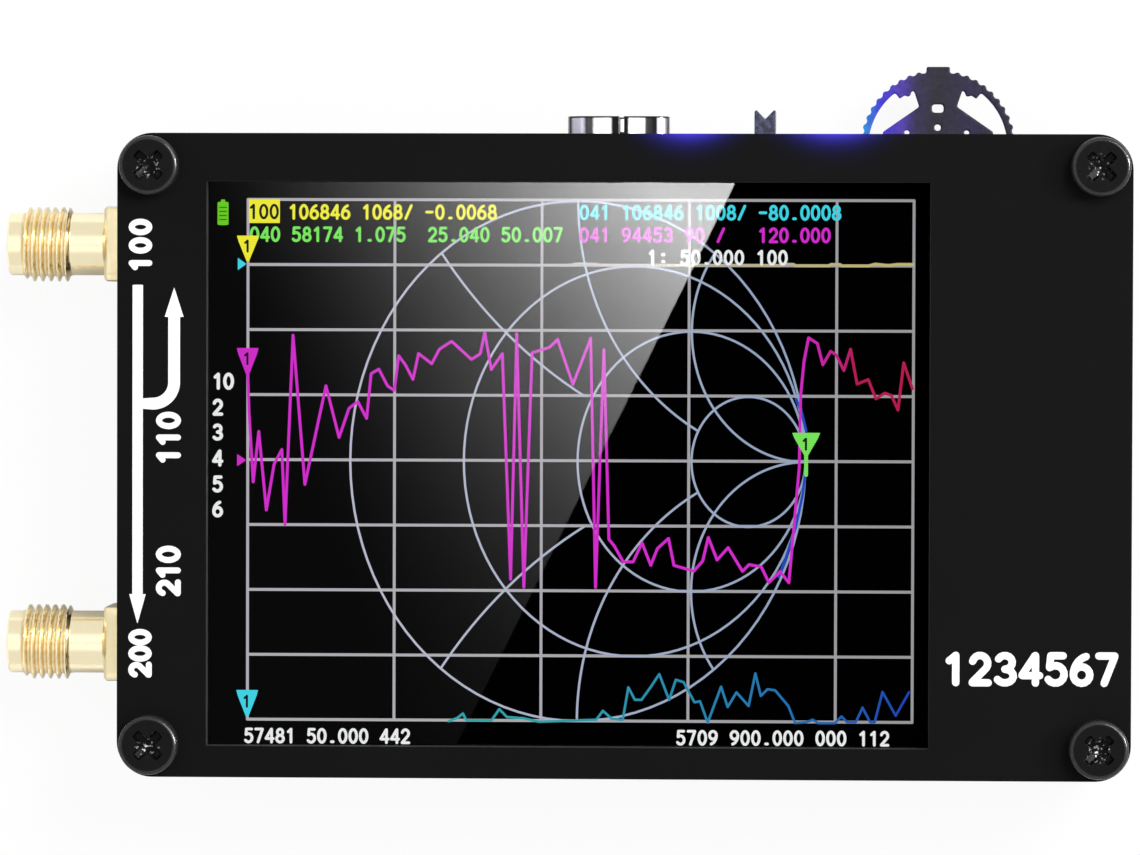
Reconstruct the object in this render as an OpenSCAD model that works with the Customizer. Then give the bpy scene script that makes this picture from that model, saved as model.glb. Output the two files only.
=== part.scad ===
// Pocket antenna analyzer: two plain laminate panels sandwich a main board, a colour touch display
// and a pouch cell on corner standoffs. Two threaded coaxial ports leave the left edge; a USB-C
// socket, a slide power switch and a three-way jog lever stand on the top edge.
// +X runs right along the face, +Y up the face, +Z out of the screen. The part lies on its back.
// Places are measured from the middle of the case, and at_origin() moves them all together.

/* [Case] */
// Width of the window in the front panel
window_w = 61.0; // [56:0.5:70]
// Height of the window in the front panel
window_h = 47.7; // [44:0.1:54]
// Width of the plain strip from the window to the right edge of the case
strip_w = 16.95; // [16:0.05:24]
// Width of the plain strip from the window to the top edge
margin_top = 4.05; // [3.8:0.05:6]
// Width of the plain strip from the window to the bottom edge
margin_bottom = 2.65; // [2.4:0.05:5]
// Gap between the display module and the posts at its left
post_gap = 1.2; // [1:0.1:3]
// Radius of the corners of the panels and the main board
corner_r = 3.0; // [2.8:0.05:3.4]
// Thickness of the front panel
front_t = 1.6; // [1.2:0.1:2]
// Thickness of the back panel
back_t = 1.2; // [1:0.1:2]
// Gap between the main board and the front panel
front_gap = 3.2; // [3:0.1:4]
// Gap between the back panel and the jog switch, the tallest piece behind the main board
rear_clear = 0.4; // [0.4:0.1:2]

/* [Main board] */
// Thickness of the main board
board_t = 1.6; // [1.2:0.1:2]
// How far the board's left edge stands back from the panels
board_inset = 0.4; // [0.2:0.1:1]

/* [Screws and standoffs] */
// Distance from the panel edges to the screw axes
screw_inset = 2.75; // [2.7:0.05:3]
// Diameter of the screw thread
screw_d = 2.5; // [2:0.1:2.6]
// Diameter of the screw heads
head_d = 5.0; // [4.6:0.1:5.2]
// Height of the screw heads
head_h = 1.5; // [1.3:0.1:2]
// Rounding of the rim of the screw heads
head_rim_r = 0.5; // [0.2:0.05:0.6]
// Depth of the cross recess in the screw heads
recess_depth = 0.9; // [0.6:0.1:1]
// Span of the cross recess
recess_span = 2.5; // [2:0.1:2.8]
// Width of the arms of the cross recess
recess_arm = 0.55; // [0.4:0.05:0.7]
// Length of the screw thread inside a standoff
thread_grip = 1.6; // [1.2:0.1:1.6]
// Size of the hexagonal standoffs across their flats
hex_af = 4.0; // [3.8:0.1:4.3]
// Length of the front standoff's stud inside the rear standoff
stud_grip = 1.5; // [1:0.1:1.6]

/* [Display] */
// How far the display module reaches past the window at its left
module_lap = 1.6; // [1.4:0.1:2]
// How far the display module reaches past the window at its right
module_tail = 6.6; // [5.8:0.1:7]
// How far the display module reaches past the window at its top and bottom
module_edge = 1.15; // [1:0.05:1.3]
// Wall of the backlight tray
tray_wall = 0.8; // [0.5:0.1:1]
// Thickness of the light guide
guide_t = 0.8; // [0.6:0.1:0.9]
// Thickness of the liquid crystal cell
cell_t = 0.8; // [0.7:0.05:0.9]
// Width of the glass ledge that carries the flexible circuit
ledge_w = 3.4; // [3:0.1:3.6]
// Thickness of the front polariser
polariser_t = 0.08; // [0.05:0.01:0.1]
// Thickness of the adhesive ring under the touch panel
ring_t = 0.15; // [0.12:0.01:0.2]
// Thickness of the touch panel
touch_t = 0.6; // [0.4:0.05:0.7]
// Thickness of the flexible circuits
flex_t = 0.15; // [0.1:0.01:0.2]
// Width of the display's flexible circuit
display_flex_w = 22; // [14:1:26]
// Width of the touch panel's flexible circuit
touch_flex_w = 5; // [4:0.5:6]

/* [Coaxial ports] */
// Gap between the first port and the post above it
port_1_gap = 1.1; // [0.5:0.05:4]
// Gap between the second port and the post below it
port_2_gap = 2.85; // [0.5:0.05:5]
// Major diameter of the port thread
port_thread_d = 6.35; // [6.2:0.05:6.35]
// Pitch of the port thread
port_pitch = 0.7056; // [0.6:0.01:0.8]
// Number of thread crests
port_turns = 6; // [4:1:7]
// Depth of the thread
port_thread_depth = 0.45; // [0.3:0.01:0.5]
// Diameter of the plain neck behind the thread
port_neck_d = 5.3; // [5.2:0.05:5.6]
// Length of the plain neck
port_neck_l = 3.0; // [2.5:0.1:4]
// Length of the plain tip in front of the thread
port_tip_l = 1.15; // [0.8:0.05:1.5]
// Side of the square flange
flange_side = 6.35; // [6:0.05:6.35]
// Thickness of the flange
flange_t = 1.8; // [1.2:0.1:2]
// Diameter of the mouth of a port
port_mouth_d = 4.6; // [4.5:0.02:4.7]
// Depth of the mouth down to the dielectric
port_mouth_depth = 1.95; // [1.9:0.05:2]
// Diameter of the dielectric
dielectric_d = 4.1; // [3.9:0.05:4.2]
// Diameter of the centre contact
contact_d = 1.27; // [1.2:0.01:1.3]
// Diameter of the socket in the centre contact
contact_bore_d = 0.96; // [0.92:0.01:1]
// Depth of the socket in the centre contact
contact_bore_l = 3.0; // [2.5:0.1:3.5]
// Length of the contact's tail on the board
tail_l = 1.6; // [1:0.1:2]
// Length of the flange legs on the board
leg_l = 4.2; // [3:0.1:5]
// Width of the flange legs
leg_w = 1.0; // [0.8:0.05:1.2]
// Thickness of the flange legs
leg_t = 1.1; // [0.8:0.05:1.2]

/* [USB socket] */
// Middle of the socket along X, from the middle of the case
usb_x = -0.6; // [-3:0.1:1]
// Width of the mouth
usb_mouth_w = 8.34; // [8.3:0.01:8.4]
// Height of the mouth
usb_mouth_h = 2.56; // [2.5:0.01:2.6]
// Wall of the shell
usb_wall = 0.2; // [0.15:0.01:0.3]
// Depth of the shell
usb_l = 7.3; // [6.8:0.1:7.6]
// How far the mouth stands out of the top edge
usb_out = 1.7; // [0.8:0.1:2]
// Width of the seam along the shell
usb_seam = 0.4; // [0.2:0.05:0.5]
// Width of the tongue
tongue_w = 6.69; // [6.5:0.01:6.7]
// Thickness of the tongue
tongue_t = 0.7; // [0.6:0.05:0.7]
// Length of the tongue
tongue_l = 4.45; // [4:0.05:4.8]

/* [Power switch] */
// Room for a light between the USB socket and the switch
power_light_room = 5.18; // [4.6:0.01:7]
// Width of the knob
knob_w = 1.85; // [1.5:0.05:2]
// How far the knob stands out of the top edge
knob_out = 2.3; // [1.5:0.1:3]
// Depth of the notch in the knob
knob_notch = 0.8; // [0.3:0.05:0.9]
// Thickness of the knob
knob_t = 1.0; // [0.8:0.05:1]
// Travel of the knob between on and off
knob_travel = 2.0; // [1.5:0.1:2]
// Width of the switch body
switch_w = 6.7; // [6.6:0.1:7]
// Depth of the switch body
switch_l = 2.7; // [2.6:0.1:3]
// Height of the switch body
switch_h = 2.2; // [2.1:0.1:2.4]

/* [Jog lever] */
// Room for a light between the switch and the jog lever
charge_light_room = 3.09; // [2.6:0.01:4]
// How far the pivot stands back from the top edge
jog_back = 0.9; // [0.8:0.1:1.4]
// Outer radius of the lever's rim
rim_r = 6.45; // [6.3:0.05:7]
// Thickness of the rim
rim_t = 0.5; // [0.4:0.05:0.6]
// Thickness of the rim beside the arm
rim_thick_t = 1.15; // [1:0.05:1.3]
// Radius of the grip ribs on the rim
rib_r = 0.26; // [0.15:0.01:0.3]
// Angle between the grip ribs
rib_step = 7.4; // [6:0.2:10]
// Height of the pad at the middle of the rim
pad_out = 0.45; // [0.2:0.05:0.6]
// Width of the pad
pad_w = 2.0; // [1.5:0.1:3]
// Width of the lever's arm at its neck
neck_w = 3.2; // [2.6:0.1:3.6]
// Width of the lever's skirt at the top edge of the case
skirt_w = 9.4; // [8:0.1:9.6]
// Thickness of the lever
lever_t = 1.0; // [0.8:0.1:1]
// Diameter of the pivot pin
pivot_d = 1.5; // [1.2:0.1:1.8]
// Turn of the lever to each side
jog_turn = 12; // [6:1:12]
// Push travel of the lever
jog_push = 0.5; // [0.3:0.1:0.6]
// Depth of the jog switch housing
jog_l = 8.4; // [8.2:0.1:9]

/* [Battery] */
// Gap between the pouch cell and the posts at its right
pouch_gap = 0.75; // [0.5:0.05:6]
// Distance from the bottom edge of the case to the pouch cell
pouch_bottom = 2.0; // [1:0.1:8]
// Thickness of the foam tape under the pouch cell
foam_t = 0.2; // [0.1:0.05:0.3]

/* [Hidden] */
$fn = 48;

cut = 1;           // how far a cutting shape runs past the face that it opens
weld = 0.01;       // how far two shapes of one solid run into each other
fit = 0.05;        // radial clearance of a small piece in its hole
sheet_t = 0.2;     // thickness of pressed sheet metal
pin_t = 0.15;      // thickness of chip leads and switch pins

// The jog switch is the tallest piece behind the board: floor, slider, lever on its pin, cover
jog_base_t = 0.4;
jog_clear = 0.3;
slider_t = 0.5;
pin_proud = 0.2;
lever_z = jog_base_t + jog_clear + slider_t + fit;
pin_top = lever_z + lever_t + pin_proud;
jog_h = pin_top + jog_clear + fit + sheet_t;
rear_gap = jog_h + rear_clear;

// Levels, from the surface that the part lies on up to the seats of the front screws
z_back = head_h;
z_rear = z_back + back_t;
z_board = z_rear + rear_gap;
z_face = z_board + board_t;
z_front = z_face + front_gap;
z_top = z_front + front_t;
z_port = z_board + board_t / 2;

// The case follows from the window and the strips round it
hex_r = hex_af / 2 / cos(30);
margin_left = screw_inset + hex_af / 2 + post_gap + module_lap;
case_w = margin_left + window_w + strip_w;
case_h = margin_top + window_h + margin_bottom;
top_y = case_h / 2;
left_x = -case_w / 2;
window_x = left_x + margin_left + window_w / 2;
window_y = -top_y + margin_bottom + window_h / 2;
board_left = left_x + board_inset;
board_w = case_w - board_inset;
screw_x = case_w / 2 - screw_inset;
screw_y = case_h / 2 - screw_inset;
screw_hole_d = screw_d + 0.2;

// Ports on the left edge, each measured from the nearer post
port_edge = screw_inset + hex_r + flange_side / 2;
port_1_y = top_y - port_edge - port_1_gap;
port_2_y = -top_y + port_edge + port_2_gap;
port_thread_l = port_turns * port_pitch;
port_reach = flange_t + port_neck_l + port_thread_l + port_tip_l - board_inset;

// Along the top edge: USB socket, light, switch, light, jog lever
usb_w = usb_mouth_w + 2 * usb_wall;
usb_h = usb_mouth_h + 2 * usb_wall;
switch_foot = 0.6;
switch_left = usb_x + usb_w / 2 + power_light_room;     // left foot of the switch
switch_x = switch_left + switch_foot + switch_w / 2;
switch_right = switch_x + switch_w / 2 + switch_foot;
knob_x = switch_x - knob_travel / 2;
jog_x = switch_right + charge_light_room + rim_r + rib_r;
jog_y = top_y - jog_back;
pad_top = rim_r + pad_out;
lever_reach = jog_y + pad_top - top_y;

// ------------------------------------------------------------------ shared shapes

// The origin lies under the middle of the whole part, on the surface that it rests on
module at_origin() {
    translate([port_reach / 2, -lever_reach / 2, 0]) children();
}

module at_corners() {
    for (sx = [-1, 1], sy = [-1, 1]) translate([sx * screw_x, sy * screw_y, 0]) children();
}

// A box centred on X and Y that stands on z = 0
module slab(w, l, h) {
    translate([-w / 2, -l / 2, 0]) cube([w, l, h]);
}

// A flat plate with round vertical corners, from its lower left corner
module round_plate(w, h, t, r) {
    linear_extrude(t) {
        translate([r, 0]) square([w - 2 * r, h]);
        translate([0, r]) square([w, h - 2 * r]);
        for (x = [r, w - r], y = [r, h - r]) translate([x, y]) circle(r);
    }
}

// A flat bar with round ends, centred, drawn in a plane
module stadium(w, h) {
    square([w - h, h], center = true);
    for (s = [-1, 1]) translate([s * (w - h) / 2, 0]) circle(h / 2);
}

// Everything on the rear side of the main board hangs from its rear face; z grows into the case
module on_rear(x, y) {
    translate([x, y, z_board]) mirror([0, 0, 1]) children();
}

// A moulded chip standing on leads along the sides that are named by their directions
module chip(size, leads, pitch, sides) {
    foot = 0.5;
    lift = 0.1;
    bend = 0.1;
    shoulder = lift + size[2] / 2;
    translate([0, 0, lift]) slab(size[0], size[1], size[2]);
    for (turn = sides) rotate(turn) {
        reach = (turn % 180 == 0 ? size[0] : size[1]) / 2;
        for (i = [0 : leads - 1]) translate([reach, (i - (leads - 1) / 2) * pitch - pitch / 4, 0]) {
            translate([-weld, 0, shoulder]) cube([bend + pin_t, pitch / 2, pin_t]);
            translate([bend, 0, 0]) cube([pin_t, pitch / 2, shoulder + pin_t]);
            translate([bend, 0, 0]) cube([foot, pitch / 2, pin_t]);
        }
    }
}

// ------------------------------------------------------------------ case

module front_panel() {
    color([0.08, 0.08, 0.08]) difference() {
        translate([left_x, -top_y, z_front]) round_plate(case_w, case_h, front_t, corner_r);
        translate([window_x, window_y, z_front - cut]) slab(window_w, window_h, front_t + 2 * cut);
        at_corners() translate([0, 0, z_front - cut]) cylinder(d = screw_hole_d, h = front_t + 2 * cut);
    }
}

module back_panel() {
    color([0.08, 0.08, 0.08]) difference() {
        translate([left_x, -top_y, z_back]) round_plate(case_w, case_h, back_t, corner_r);
        at_corners() translate([0, 0, z_back - cut]) cylinder(d = screw_hole_d, h = back_t + 2 * cut);
    }
}

// A pan head screw with its seat at z = 0 and its head upward
module pan_screw(grip) {
    flat_r = head_d / 2 - head_rim_r;
    difference() {
        union() {
            rotate_extrude() {
                square([flat_r, head_h]);
                square([head_d / 2, head_h - head_rim_r]);
                translate([flat_r, head_h - head_rim_r]) intersection() {
                    circle(head_rim_r);
                    square(head_rim_r);
                }
            }
            translate([0, 0, -grip]) cylinder(d = screw_d - 2 * fit, h = grip + weld);
        }
        for (turn = [45, 135]) rotate(turn) translate([0, 0, head_h - recess_depth])
            slab(recess_span, recess_arm, recess_depth + cut);
        translate([0, 0, head_h - recess_depth])
            cylinder(d1 = recess_arm, d2 = recess_span * 0.55, h = recess_depth + weld);
    }
}

module front_screws() {
    color([0.06, 0.06, 0.06]) at_corners() translate([0, 0, z_top]) pan_screw(front_t + thread_grip);
}

module rear_screws() {
    color([0.06, 0.06, 0.06]) at_corners() translate([0, 0, z_back]) mirror([0, 0, 1])
        pan_screw(back_t + thread_grip);
}

module hex_post(h) {
    rotate(30) cylinder(r = hex_r, h = h, $fn = 6);
}

// Between the main board and the front panel, with a stud down through the board
module front_standoffs() {
    hole_l = thread_grip + 0.3;
    color([0.8, 0.65, 0.3]) at_corners() {
        difference() {
            translate([0, 0, z_face]) hex_post(front_gap);
            translate([0, 0, z_front - hole_l]) cylinder(d = screw_d, h = hole_l + cut);
        }
        translate([0, 0, z_board - stud_grip])
            cylinder(d = screw_d - 2 * fit, h = board_t + stud_grip + weld);
    }
}

module rear_standoffs() {
    color([0.8, 0.65, 0.3]) at_corners() difference() {
        translate([0, 0, z_rear]) hex_post(rear_gap);
        translate([0, 0, z_rear - cut]) cylinder(d = screw_d, h = rear_gap + 2 * cut);
    }
}

// ------------------------------------------------------------------ main board

usb_mouth_y = top_y + usb_out;
tab_l = 1.0;                                                // soldering tabs of the socket shell
tab_ys = [usb_mouth_y - usb_l + 1.2, usb_mouth_y - 3.2];    // their places along Y
tab_clear = 0.15;
tongue_start = 1.3;                                         // behind the mouth

module main_board() {
    color([0.05, 0.1, 0.07]) difference() {
        translate([board_left, -top_y, z_board]) round_plate(board_w, case_h, board_t, corner_r);
        at_corners() translate([0, 0, z_board - cut]) cylinder(d = screw_hole_d, h = board_t + 2 * cut);
        for (y = [port_1_y, port_2_y])
            translate([board_left - cut, y - contact_d / 2 - fit, z_board - cut])
                cube([tail_l + fit + cut, contact_d + 2 * fit, board_t + 2 * cut]);
        for (s = [-1, 1], y = tab_ys)
            translate([usb_x + s * (usb_w - usb_wall) / 2, y, z_board - cut])
                slab(usb_wall + 2 * tab_clear, tab_l + 2 * tab_clear, board_t + 2 * cut);
    }
}

// ------------------------------------------------------------------ display

stack_clear = 0.1;                   // above the touch panel and below the tray
hole_clear = 0.1;                    // from the window to the adhesive ring
module_w = module_lap + window_w + module_tail;
module_h = window_h + 2 * module_edge;
module_x = window_x + (module_tail - module_lap) / 2;
module_right = module_x + module_w / 2;
cell_inset = 0.4;
cell_w = module_w - 2 * cell_inset;
cell_h = module_h - 2 * cell_inset;
z_touch = z_front - stack_clear - touch_t;
z_ring = z_touch - ring_t;
z_cell = z_ring - cell_t;
z_tray = z_face + stack_clear;
tray_t = z_cell - z_tray;

module display_tray() {
    color([0.85, 0.85, 0.83]) translate([module_x, window_y, z_tray]) difference() {
        slab(module_w, module_h, tray_t);
        translate([0, 0, tray_t - guide_t - stack_clear])
            slab(module_w - 2 * tray_wall, module_h - 2 * tray_wall, tray_t);
    }
}

module light_guide() {
    color([0.9, 0.93, 0.95]) translate([module_x, window_y, z_tray + tray_t - guide_t - stack_clear])
        slab(module_w - 2 * tray_wall - 4 * fit, module_h - 2 * tray_wall - 4 * fit, guide_t);
}

// Two bonded glass plates; the rear one is longer and its ledge carries the flexible circuit
module display_cell() {
    color([0.12, 0.13, 0.15]) translate([module_x, window_y, z_cell]) {
        slab(cell_w, cell_h, cell_t / 2 + weld);
        translate([-ledge_w / 2, 0, cell_t / 2]) slab(cell_w - ledge_w, cell_h, cell_t / 2);
    }
}

module polariser() {
    color([0.02, 0.02, 0.03]) translate([window_x, window_y, z_ring])
        slab(window_w, window_h, polariser_t);
}

module touch_adhesive() {
    ring_w = cell_w - ledge_w - 2 * hole_clear;
    color([0.1, 0.1, 0.1]) difference() {
        translate([module_x - ledge_w / 2, window_y, z_ring])
            slab(ring_w, cell_h - 2 * hole_clear, ring_t);
        translate([window_x, window_y, z_ring - cut])
            slab(window_w + 2 * hole_clear, window_h + 2 * hole_clear, ring_t + 2 * cut);
    }
}

module touch_panel() {
    color([0.2, 0.2, 0.22, 0.4]) translate([module_x, window_y, z_touch])
        slab(module_w, module_h, touch_t);
}

// A flexible circuit, seen along Y: flat at the top, an S bend down, and flat on the board
module flex_strip(x, z, w) {
    bend_r = (z - z_face) / 2;        // at the middle of the film
    over = 0.6;                       // past the module before it bends
    foot = 3.0;
    out_x = module_right + over;
    inner = bend_r - flex_t / 2;
    outer = bend_r + flex_t / 2;
    rotate([90, 0, 0]) linear_extrude(w, center = true) {
        translate([x, z]) square([out_x - x + weld, flex_t]);
        translate([out_x, z + flex_t / 2 - bend_r]) difference() {
            intersection() {
                circle(outer);
                square(outer);
            }
            circle(inner);
        }
        translate([out_x + 2 * bend_r, z_face + flex_t / 2 + bend_r]) difference() {
            intersection() {
                circle(outer);
                translate([-outer, -outer]) square(outer);
            }
            circle(inner);
        }
        translate([out_x + 2 * bend_r - weld, z_face]) square([foot, flex_t]);
    }
}

flex_drop = 4.0;                            // from the window's middle down to the display's flex
flex_space = 1.0;
flex_bite = 0.4;
touch_flex_bite = 2.0;

module display_flex() {
    color([0.75, 0.5, 0.15]) translate([0, window_y - flex_drop, 0])
        flex_strip(module_right - cell_inset - ledge_w + flex_bite, z_cell + cell_t / 2 + weld, display_flex_w);
}

module touch_flex() {
    flex_y = window_y - flex_drop + (display_flex_w + touch_flex_w) / 2 + flex_space;
    color([0.75, 0.5, 0.15]) translate([0, flex_y, 0])
        flex_strip(module_right - touch_flex_bite, z_touch - flex_t - weld, touch_flex_w);
}

module display_tape() {
    tape_inset = 15.0;
    tape_w = module_w - 2 * tape_inset;
    tape_l = module_h / 8;
    color([0.9, 0.9, 0.9]) for (s = [-1, 1])
        translate([module_x, window_y + s * module_h / 4, z_face]) slab(tape_w, tape_l, stack_clear);
}

// ------------------------------------------------------------------ coaxial ports

// Along +Z from the back of the flange; +Z here becomes -X on the part
thread_start = flange_t + port_neck_l;
thread_end = thread_start + port_thread_l;
port_l = thread_end + port_tip_l;
dielectric_end = port_l - port_mouth_depth;
crest_flat = port_pitch / 4;
root_d = port_thread_d - 2 * port_thread_depth;

module at_port(y) {
    translate([board_left, y, z_port]) rotate([0, -90, 0]) children();
}

module port_body() {
    difference() {
        union() {
            translate([0, 0, flange_t / 2]) cube([flange_side, flange_side, flange_t], center = true);
            cylinder(d = port_neck_d, h = port_l - 0.2);
            translate([0, 0, port_l - 0.2 - weld])
                cylinder(d1 = port_neck_d, d2 = port_neck_d - 0.3, h = 0.2 + weld);
            translate([0, 0, thread_start]) cylinder(d = root_d, h = port_thread_l);
            rotate_extrude() for (i = [0 : port_turns - 1])
                translate([0, thread_start + (i + 0.5) * port_pitch]) polygon([
                    [root_d / 2 - 0.3, -port_pitch * 0.4],
                    [root_d / 2, -port_pitch * 0.4],
                    [port_thread_d / 2, -crest_flat / 2],
                    [port_thread_d / 2, crest_flat / 2],
                    [root_d / 2, port_pitch * 0.4],
                    [root_d / 2 - 0.3, port_pitch * 0.4]
                ]);
            for (sx = [-1, 1], sy = [-1, 1])
                translate([sx * (board_t + leg_t) / 2, sy * (flange_side - leg_w) / 2, weld - leg_l])
                    slab(leg_t, leg_w, leg_l);
        }
        translate([0, 0, -cut]) cylinder(d = dielectric_d, h = port_l + 2 * cut);
        translate([0, 0, dielectric_end]) cylinder(d = port_mouth_d, h = port_mouth_depth + cut);
    }
}

module port_dielectric() {
    difference() {
        cylinder(d = dielectric_d - 2 * fit, h = dielectric_end);
        translate([0, 0, -cut]) cylinder(d = contact_d + 2 * fit, h = dielectric_end + 2 * cut);
    }
}

// The socket for the plug's pin in front, and a flattened tail soldered to the board behind
module port_contact() {
    difference() {
        cylinder(d = contact_d, h = dielectric_end);
        translate([0, 0, dielectric_end - contact_bore_l])
            cylinder(d = contact_bore_d, h = contact_bore_l + cut);
    }
    translate([0, 0, weld - tail_l]) slab(board_t * 0.6, contact_d * 0.6, tail_l);
}

module port_1_body() {
    color([0.83, 0.66, 0.3]) at_port(port_1_y) port_body();
}

module port_2_body() {
    color([0.83, 0.66, 0.3]) at_port(port_2_y) port_body();
}

module port_1_dielectric() {
    color([0.95, 0.95, 0.93]) at_port(port_1_y) port_dielectric();
}

module port_2_dielectric() {
    color([0.95, 0.95, 0.93]) at_port(port_2_y) port_dielectric();
}

module port_1_contact() {
    color([0.85, 0.68, 0.3]) at_port(port_1_y) port_contact();
}

module port_2_contact() {
    color([0.85, 0.68, 0.3]) at_port(port_2_y) port_contact();
}

// ------------------------------------------------------------------ USB socket

// Seen from +Y, from the rear face of the board down; +Z of the extrusion runs back into the case
module in_usb() {
    translate([usb_x, usb_mouth_y, z_board - usb_h / 2]) rotate([90, 0, 0]) children();
}

module usb_shell() {
    seam_x = 0.25;
    color([0.8, 0.8, 0.82]) {
        in_usb() difference() {
            linear_extrude(usb_l) stadium(usb_w, usb_h);
            translate([0, 0, -cut]) linear_extrude(usb_l + 2 * cut) stadium(usb_mouth_w, usb_mouth_h);
            translate([seam_x - usb_seam / 2, usb_mouth_h / 2 - fit, -cut])
                cube([usb_seam, usb_wall + 2 * fit, usb_l + 2 * cut]);
        }
        for (s = [-1, 1], y = tab_ys)
            translate([usb_x + s * (usb_w - usb_wall) / 2, y, z_board - usb_h / 2])
                slab(usb_wall, tab_l, usb_h / 2 + board_t);
    }
}

module usb_insert() {
    color([0.1, 0.1, 0.1]) in_usb() {
        translate([0, 0, tongue_start + tongue_l]) linear_extrude(usb_l - tongue_start - tongue_l)
            stadium(usb_mouth_w - 2 * fit, usb_mouth_h - 2 * fit);
        translate([-tongue_w / 2, -tongue_t / 2, tongue_start])
            cube([tongue_w, tongue_t, tongue_l + weld]);
    }
}

// Twelve strips on each side of the tongue
module usb_contacts() {
    strip_t = 0.05;
    strip_w = 0.25;
    strip_pitch = 0.5;
    strip_inset = 0.5;
    color([0.85, 0.68, 0.3]) in_usb() for (i = [0 : 11], s = [-1, 1]) translate([
        (i - 5.5) * strip_pitch - strip_w / 2,
        s * (tongue_t + strip_t) / 2 - strip_t / 2,
        tongue_start + strip_inset
    ]) cube([strip_w, strip_t, tongue_l - strip_inset - fit]);
}

// ------------------------------------------------------------------ power switch

switch_y = top_y - switch_l / 2;            // the body's front wall is flush with the top edge
switch_base_t = 0.3;
slot_clear = 0.3;
knob_z = switch_base_t + (switch_h - switch_base_t - sheet_t - knob_t) / 2;

module switch_base() {
    color([0.12, 0.12, 0.12]) on_rear(switch_x, switch_y)
        slab(switch_w - 2 * sheet_t - 2 * fit, switch_l - 2 * sheet_t - 2 * fit, switch_base_t);
}

// A sheet metal cap over the base, open to the front where the knob comes out
module switch_frame() {
    slot_w = knob_w + knob_travel + 2 * slot_clear;
    color([0.78, 0.78, 0.8]) on_rear(switch_x, switch_y) {
        difference() {
            slab(switch_w, switch_l, switch_h);
            translate([0, 0, -cut])
                slab(switch_w - 2 * sheet_t, switch_l - 2 * sheet_t, switch_h - sheet_t + cut);
            translate([0, switch_l / 2, knob_z - slot_clear])
                slab(slot_w, 2 * sheet_t + cut, knob_t + 2 * slot_clear);
        }
        for (s = [-1, 1]) translate([s * (switch_w + switch_foot) / 2, 0, 0])
            slab(switch_foot + 2 * weld, switch_l * 0.6, sheet_t);
    }
}

module switch_pins() {
    color([0.8, 0.8, 0.78]) on_rear(switch_x, switch_y - switch_l / 2 - 0.35)
        for (i = [-1, 0.5, 1.5]) translate([i * 1.5, 0, 0]) slab(0.4, 0.7, pin_t);
}

// The carriage slides inside the cap, and the notched knob stands out of the top edge
module power_knob() {
    carriage_w = switch_w - 2 * sheet_t - knob_travel - 2 * slot_clear;
    carriage_l = switch_l - 2 * sheet_t - 2 * slot_clear;
    reach = knob_out + switch_l / 2;
    color([0.13, 0.13, 0.15]) on_rear(knob_x, switch_y) translate([0, 0, knob_z]) {
        slab(carriage_w, carriage_l, knob_t);
        linear_extrude(knob_t) polygon([
            [-knob_w / 2, 0],
            [knob_w / 2, 0],
            [knob_w / 2, reach - 0.15],
            [knob_w / 2 - 0.15, reach],
            [0, reach - knob_notch],
            [0.15 - knob_w / 2, reach],
            [-knob_w / 2, reach - 0.15]
        ]);
    }
}

// ------------------------------------------------------------------ jog lever

jog_front = top_y - 0.4;
housing_y = jog_front - jog_l / 2;
rim_side_gap = 0.45;                                    // from the rim's ends to the cover
jog_w = 2 * (rim_r - rim_t - rim_side_gap - sheet_t);
jog_wall = 1.2;
slider_w = 5.0;
slider_front = 1.1;                                     // from the pivot to the slider's ends
slider_back = 2.1;
hub_r = 2.4;
neck_y = 3.5;
skirt_y = jog_back + 0.45;
skirt_edge = 0.5;
rim_end = 93;                                           // angles from the middle of the rim
thick_end = 38;
arm_top = rim_r - rim_thick_t;

// How far a corner of the skirt dips behind the pivot when the lever is turned to its stop
skirt_corner = [skirt_w / 2, skirt_y - skirt_edge];
skirt_dip = norm(skirt_corner) * sin(jog_turn - atan2(skirt_corner[1], skirt_corner[0]));
wall_front = jog_y - jog_push - max(skirt_dip, 0) - jog_clear;
wall_l = wall_front - (jog_front - jog_l);

// A floor on the board with three low walls, open to the front for the lever
module jog_base() {
    wall_h = jog_h - jog_base_t - sheet_t;
    color([0.1, 0.1, 0.1]) {
        on_rear(jog_x, housing_y) slab(jog_w, jog_l, jog_base_t);
        on_rear(jog_x, wall_front - wall_l / 2) translate([0, 0, jog_base_t - weld]) {
            for (s = [-1, 1]) translate([s * (jog_w - jog_wall) / 2, 0, 0])
                slab(jog_wall, wall_l, wall_h + weld);
            translate([0, (jog_wall - wall_l) / 2, 0]) slab(jog_w, jog_wall, wall_h + weld);
        }
    }
}

module jog_cover() {
    color([0.78, 0.78, 0.8]) on_rear(jog_x, wall_front - wall_l / 2) {
        translate([0, 0, jog_h - sheet_t]) slab(jog_w + 2 * sheet_t, wall_l, sheet_t);
        for (s = [-1, 1]) translate([s * (jog_w + sheet_t) / 2, 0, 0])
            slab(sheet_t, wall_l * 0.7, jog_h - sheet_t + weld);
    }
}

// Fixed contact leaves on the floor of the housing, one for each way that the lever moves
module jog_contacts() {
    color([0.8, 0.8, 0.78]) on_rear(jog_x, jog_front - jog_l + jog_wall + 0.6) for (i = [-1 : 1])
        translate([i * 2.6, 0, jog_base_t]) slab(1.2, 1, pin_t);
}

// The carriage that the lever pushes back into the housing; its pin is the lever's pivot
module jog_slider() {
    color([0.85, 0.85, 0.82]) on_rear(jog_x, jog_y) translate([0, 0, jog_base_t + jog_clear]) {
        translate([-slider_w / 2, -slider_back, 0]) cube([slider_w, slider_back + slider_front, slider_t]);
        cylinder(d = pivot_d, h = pin_top - jog_base_t - jog_clear);
    }
}

// A sector of a ring round the pivot, symmetric about the lever's arm
module rim_sector(t, end) {
    rotate(90 - end) rotate_extrude(angle = 2 * end) translate([rim_r - t, 0]) square([t, lever_t]);
}

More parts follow.
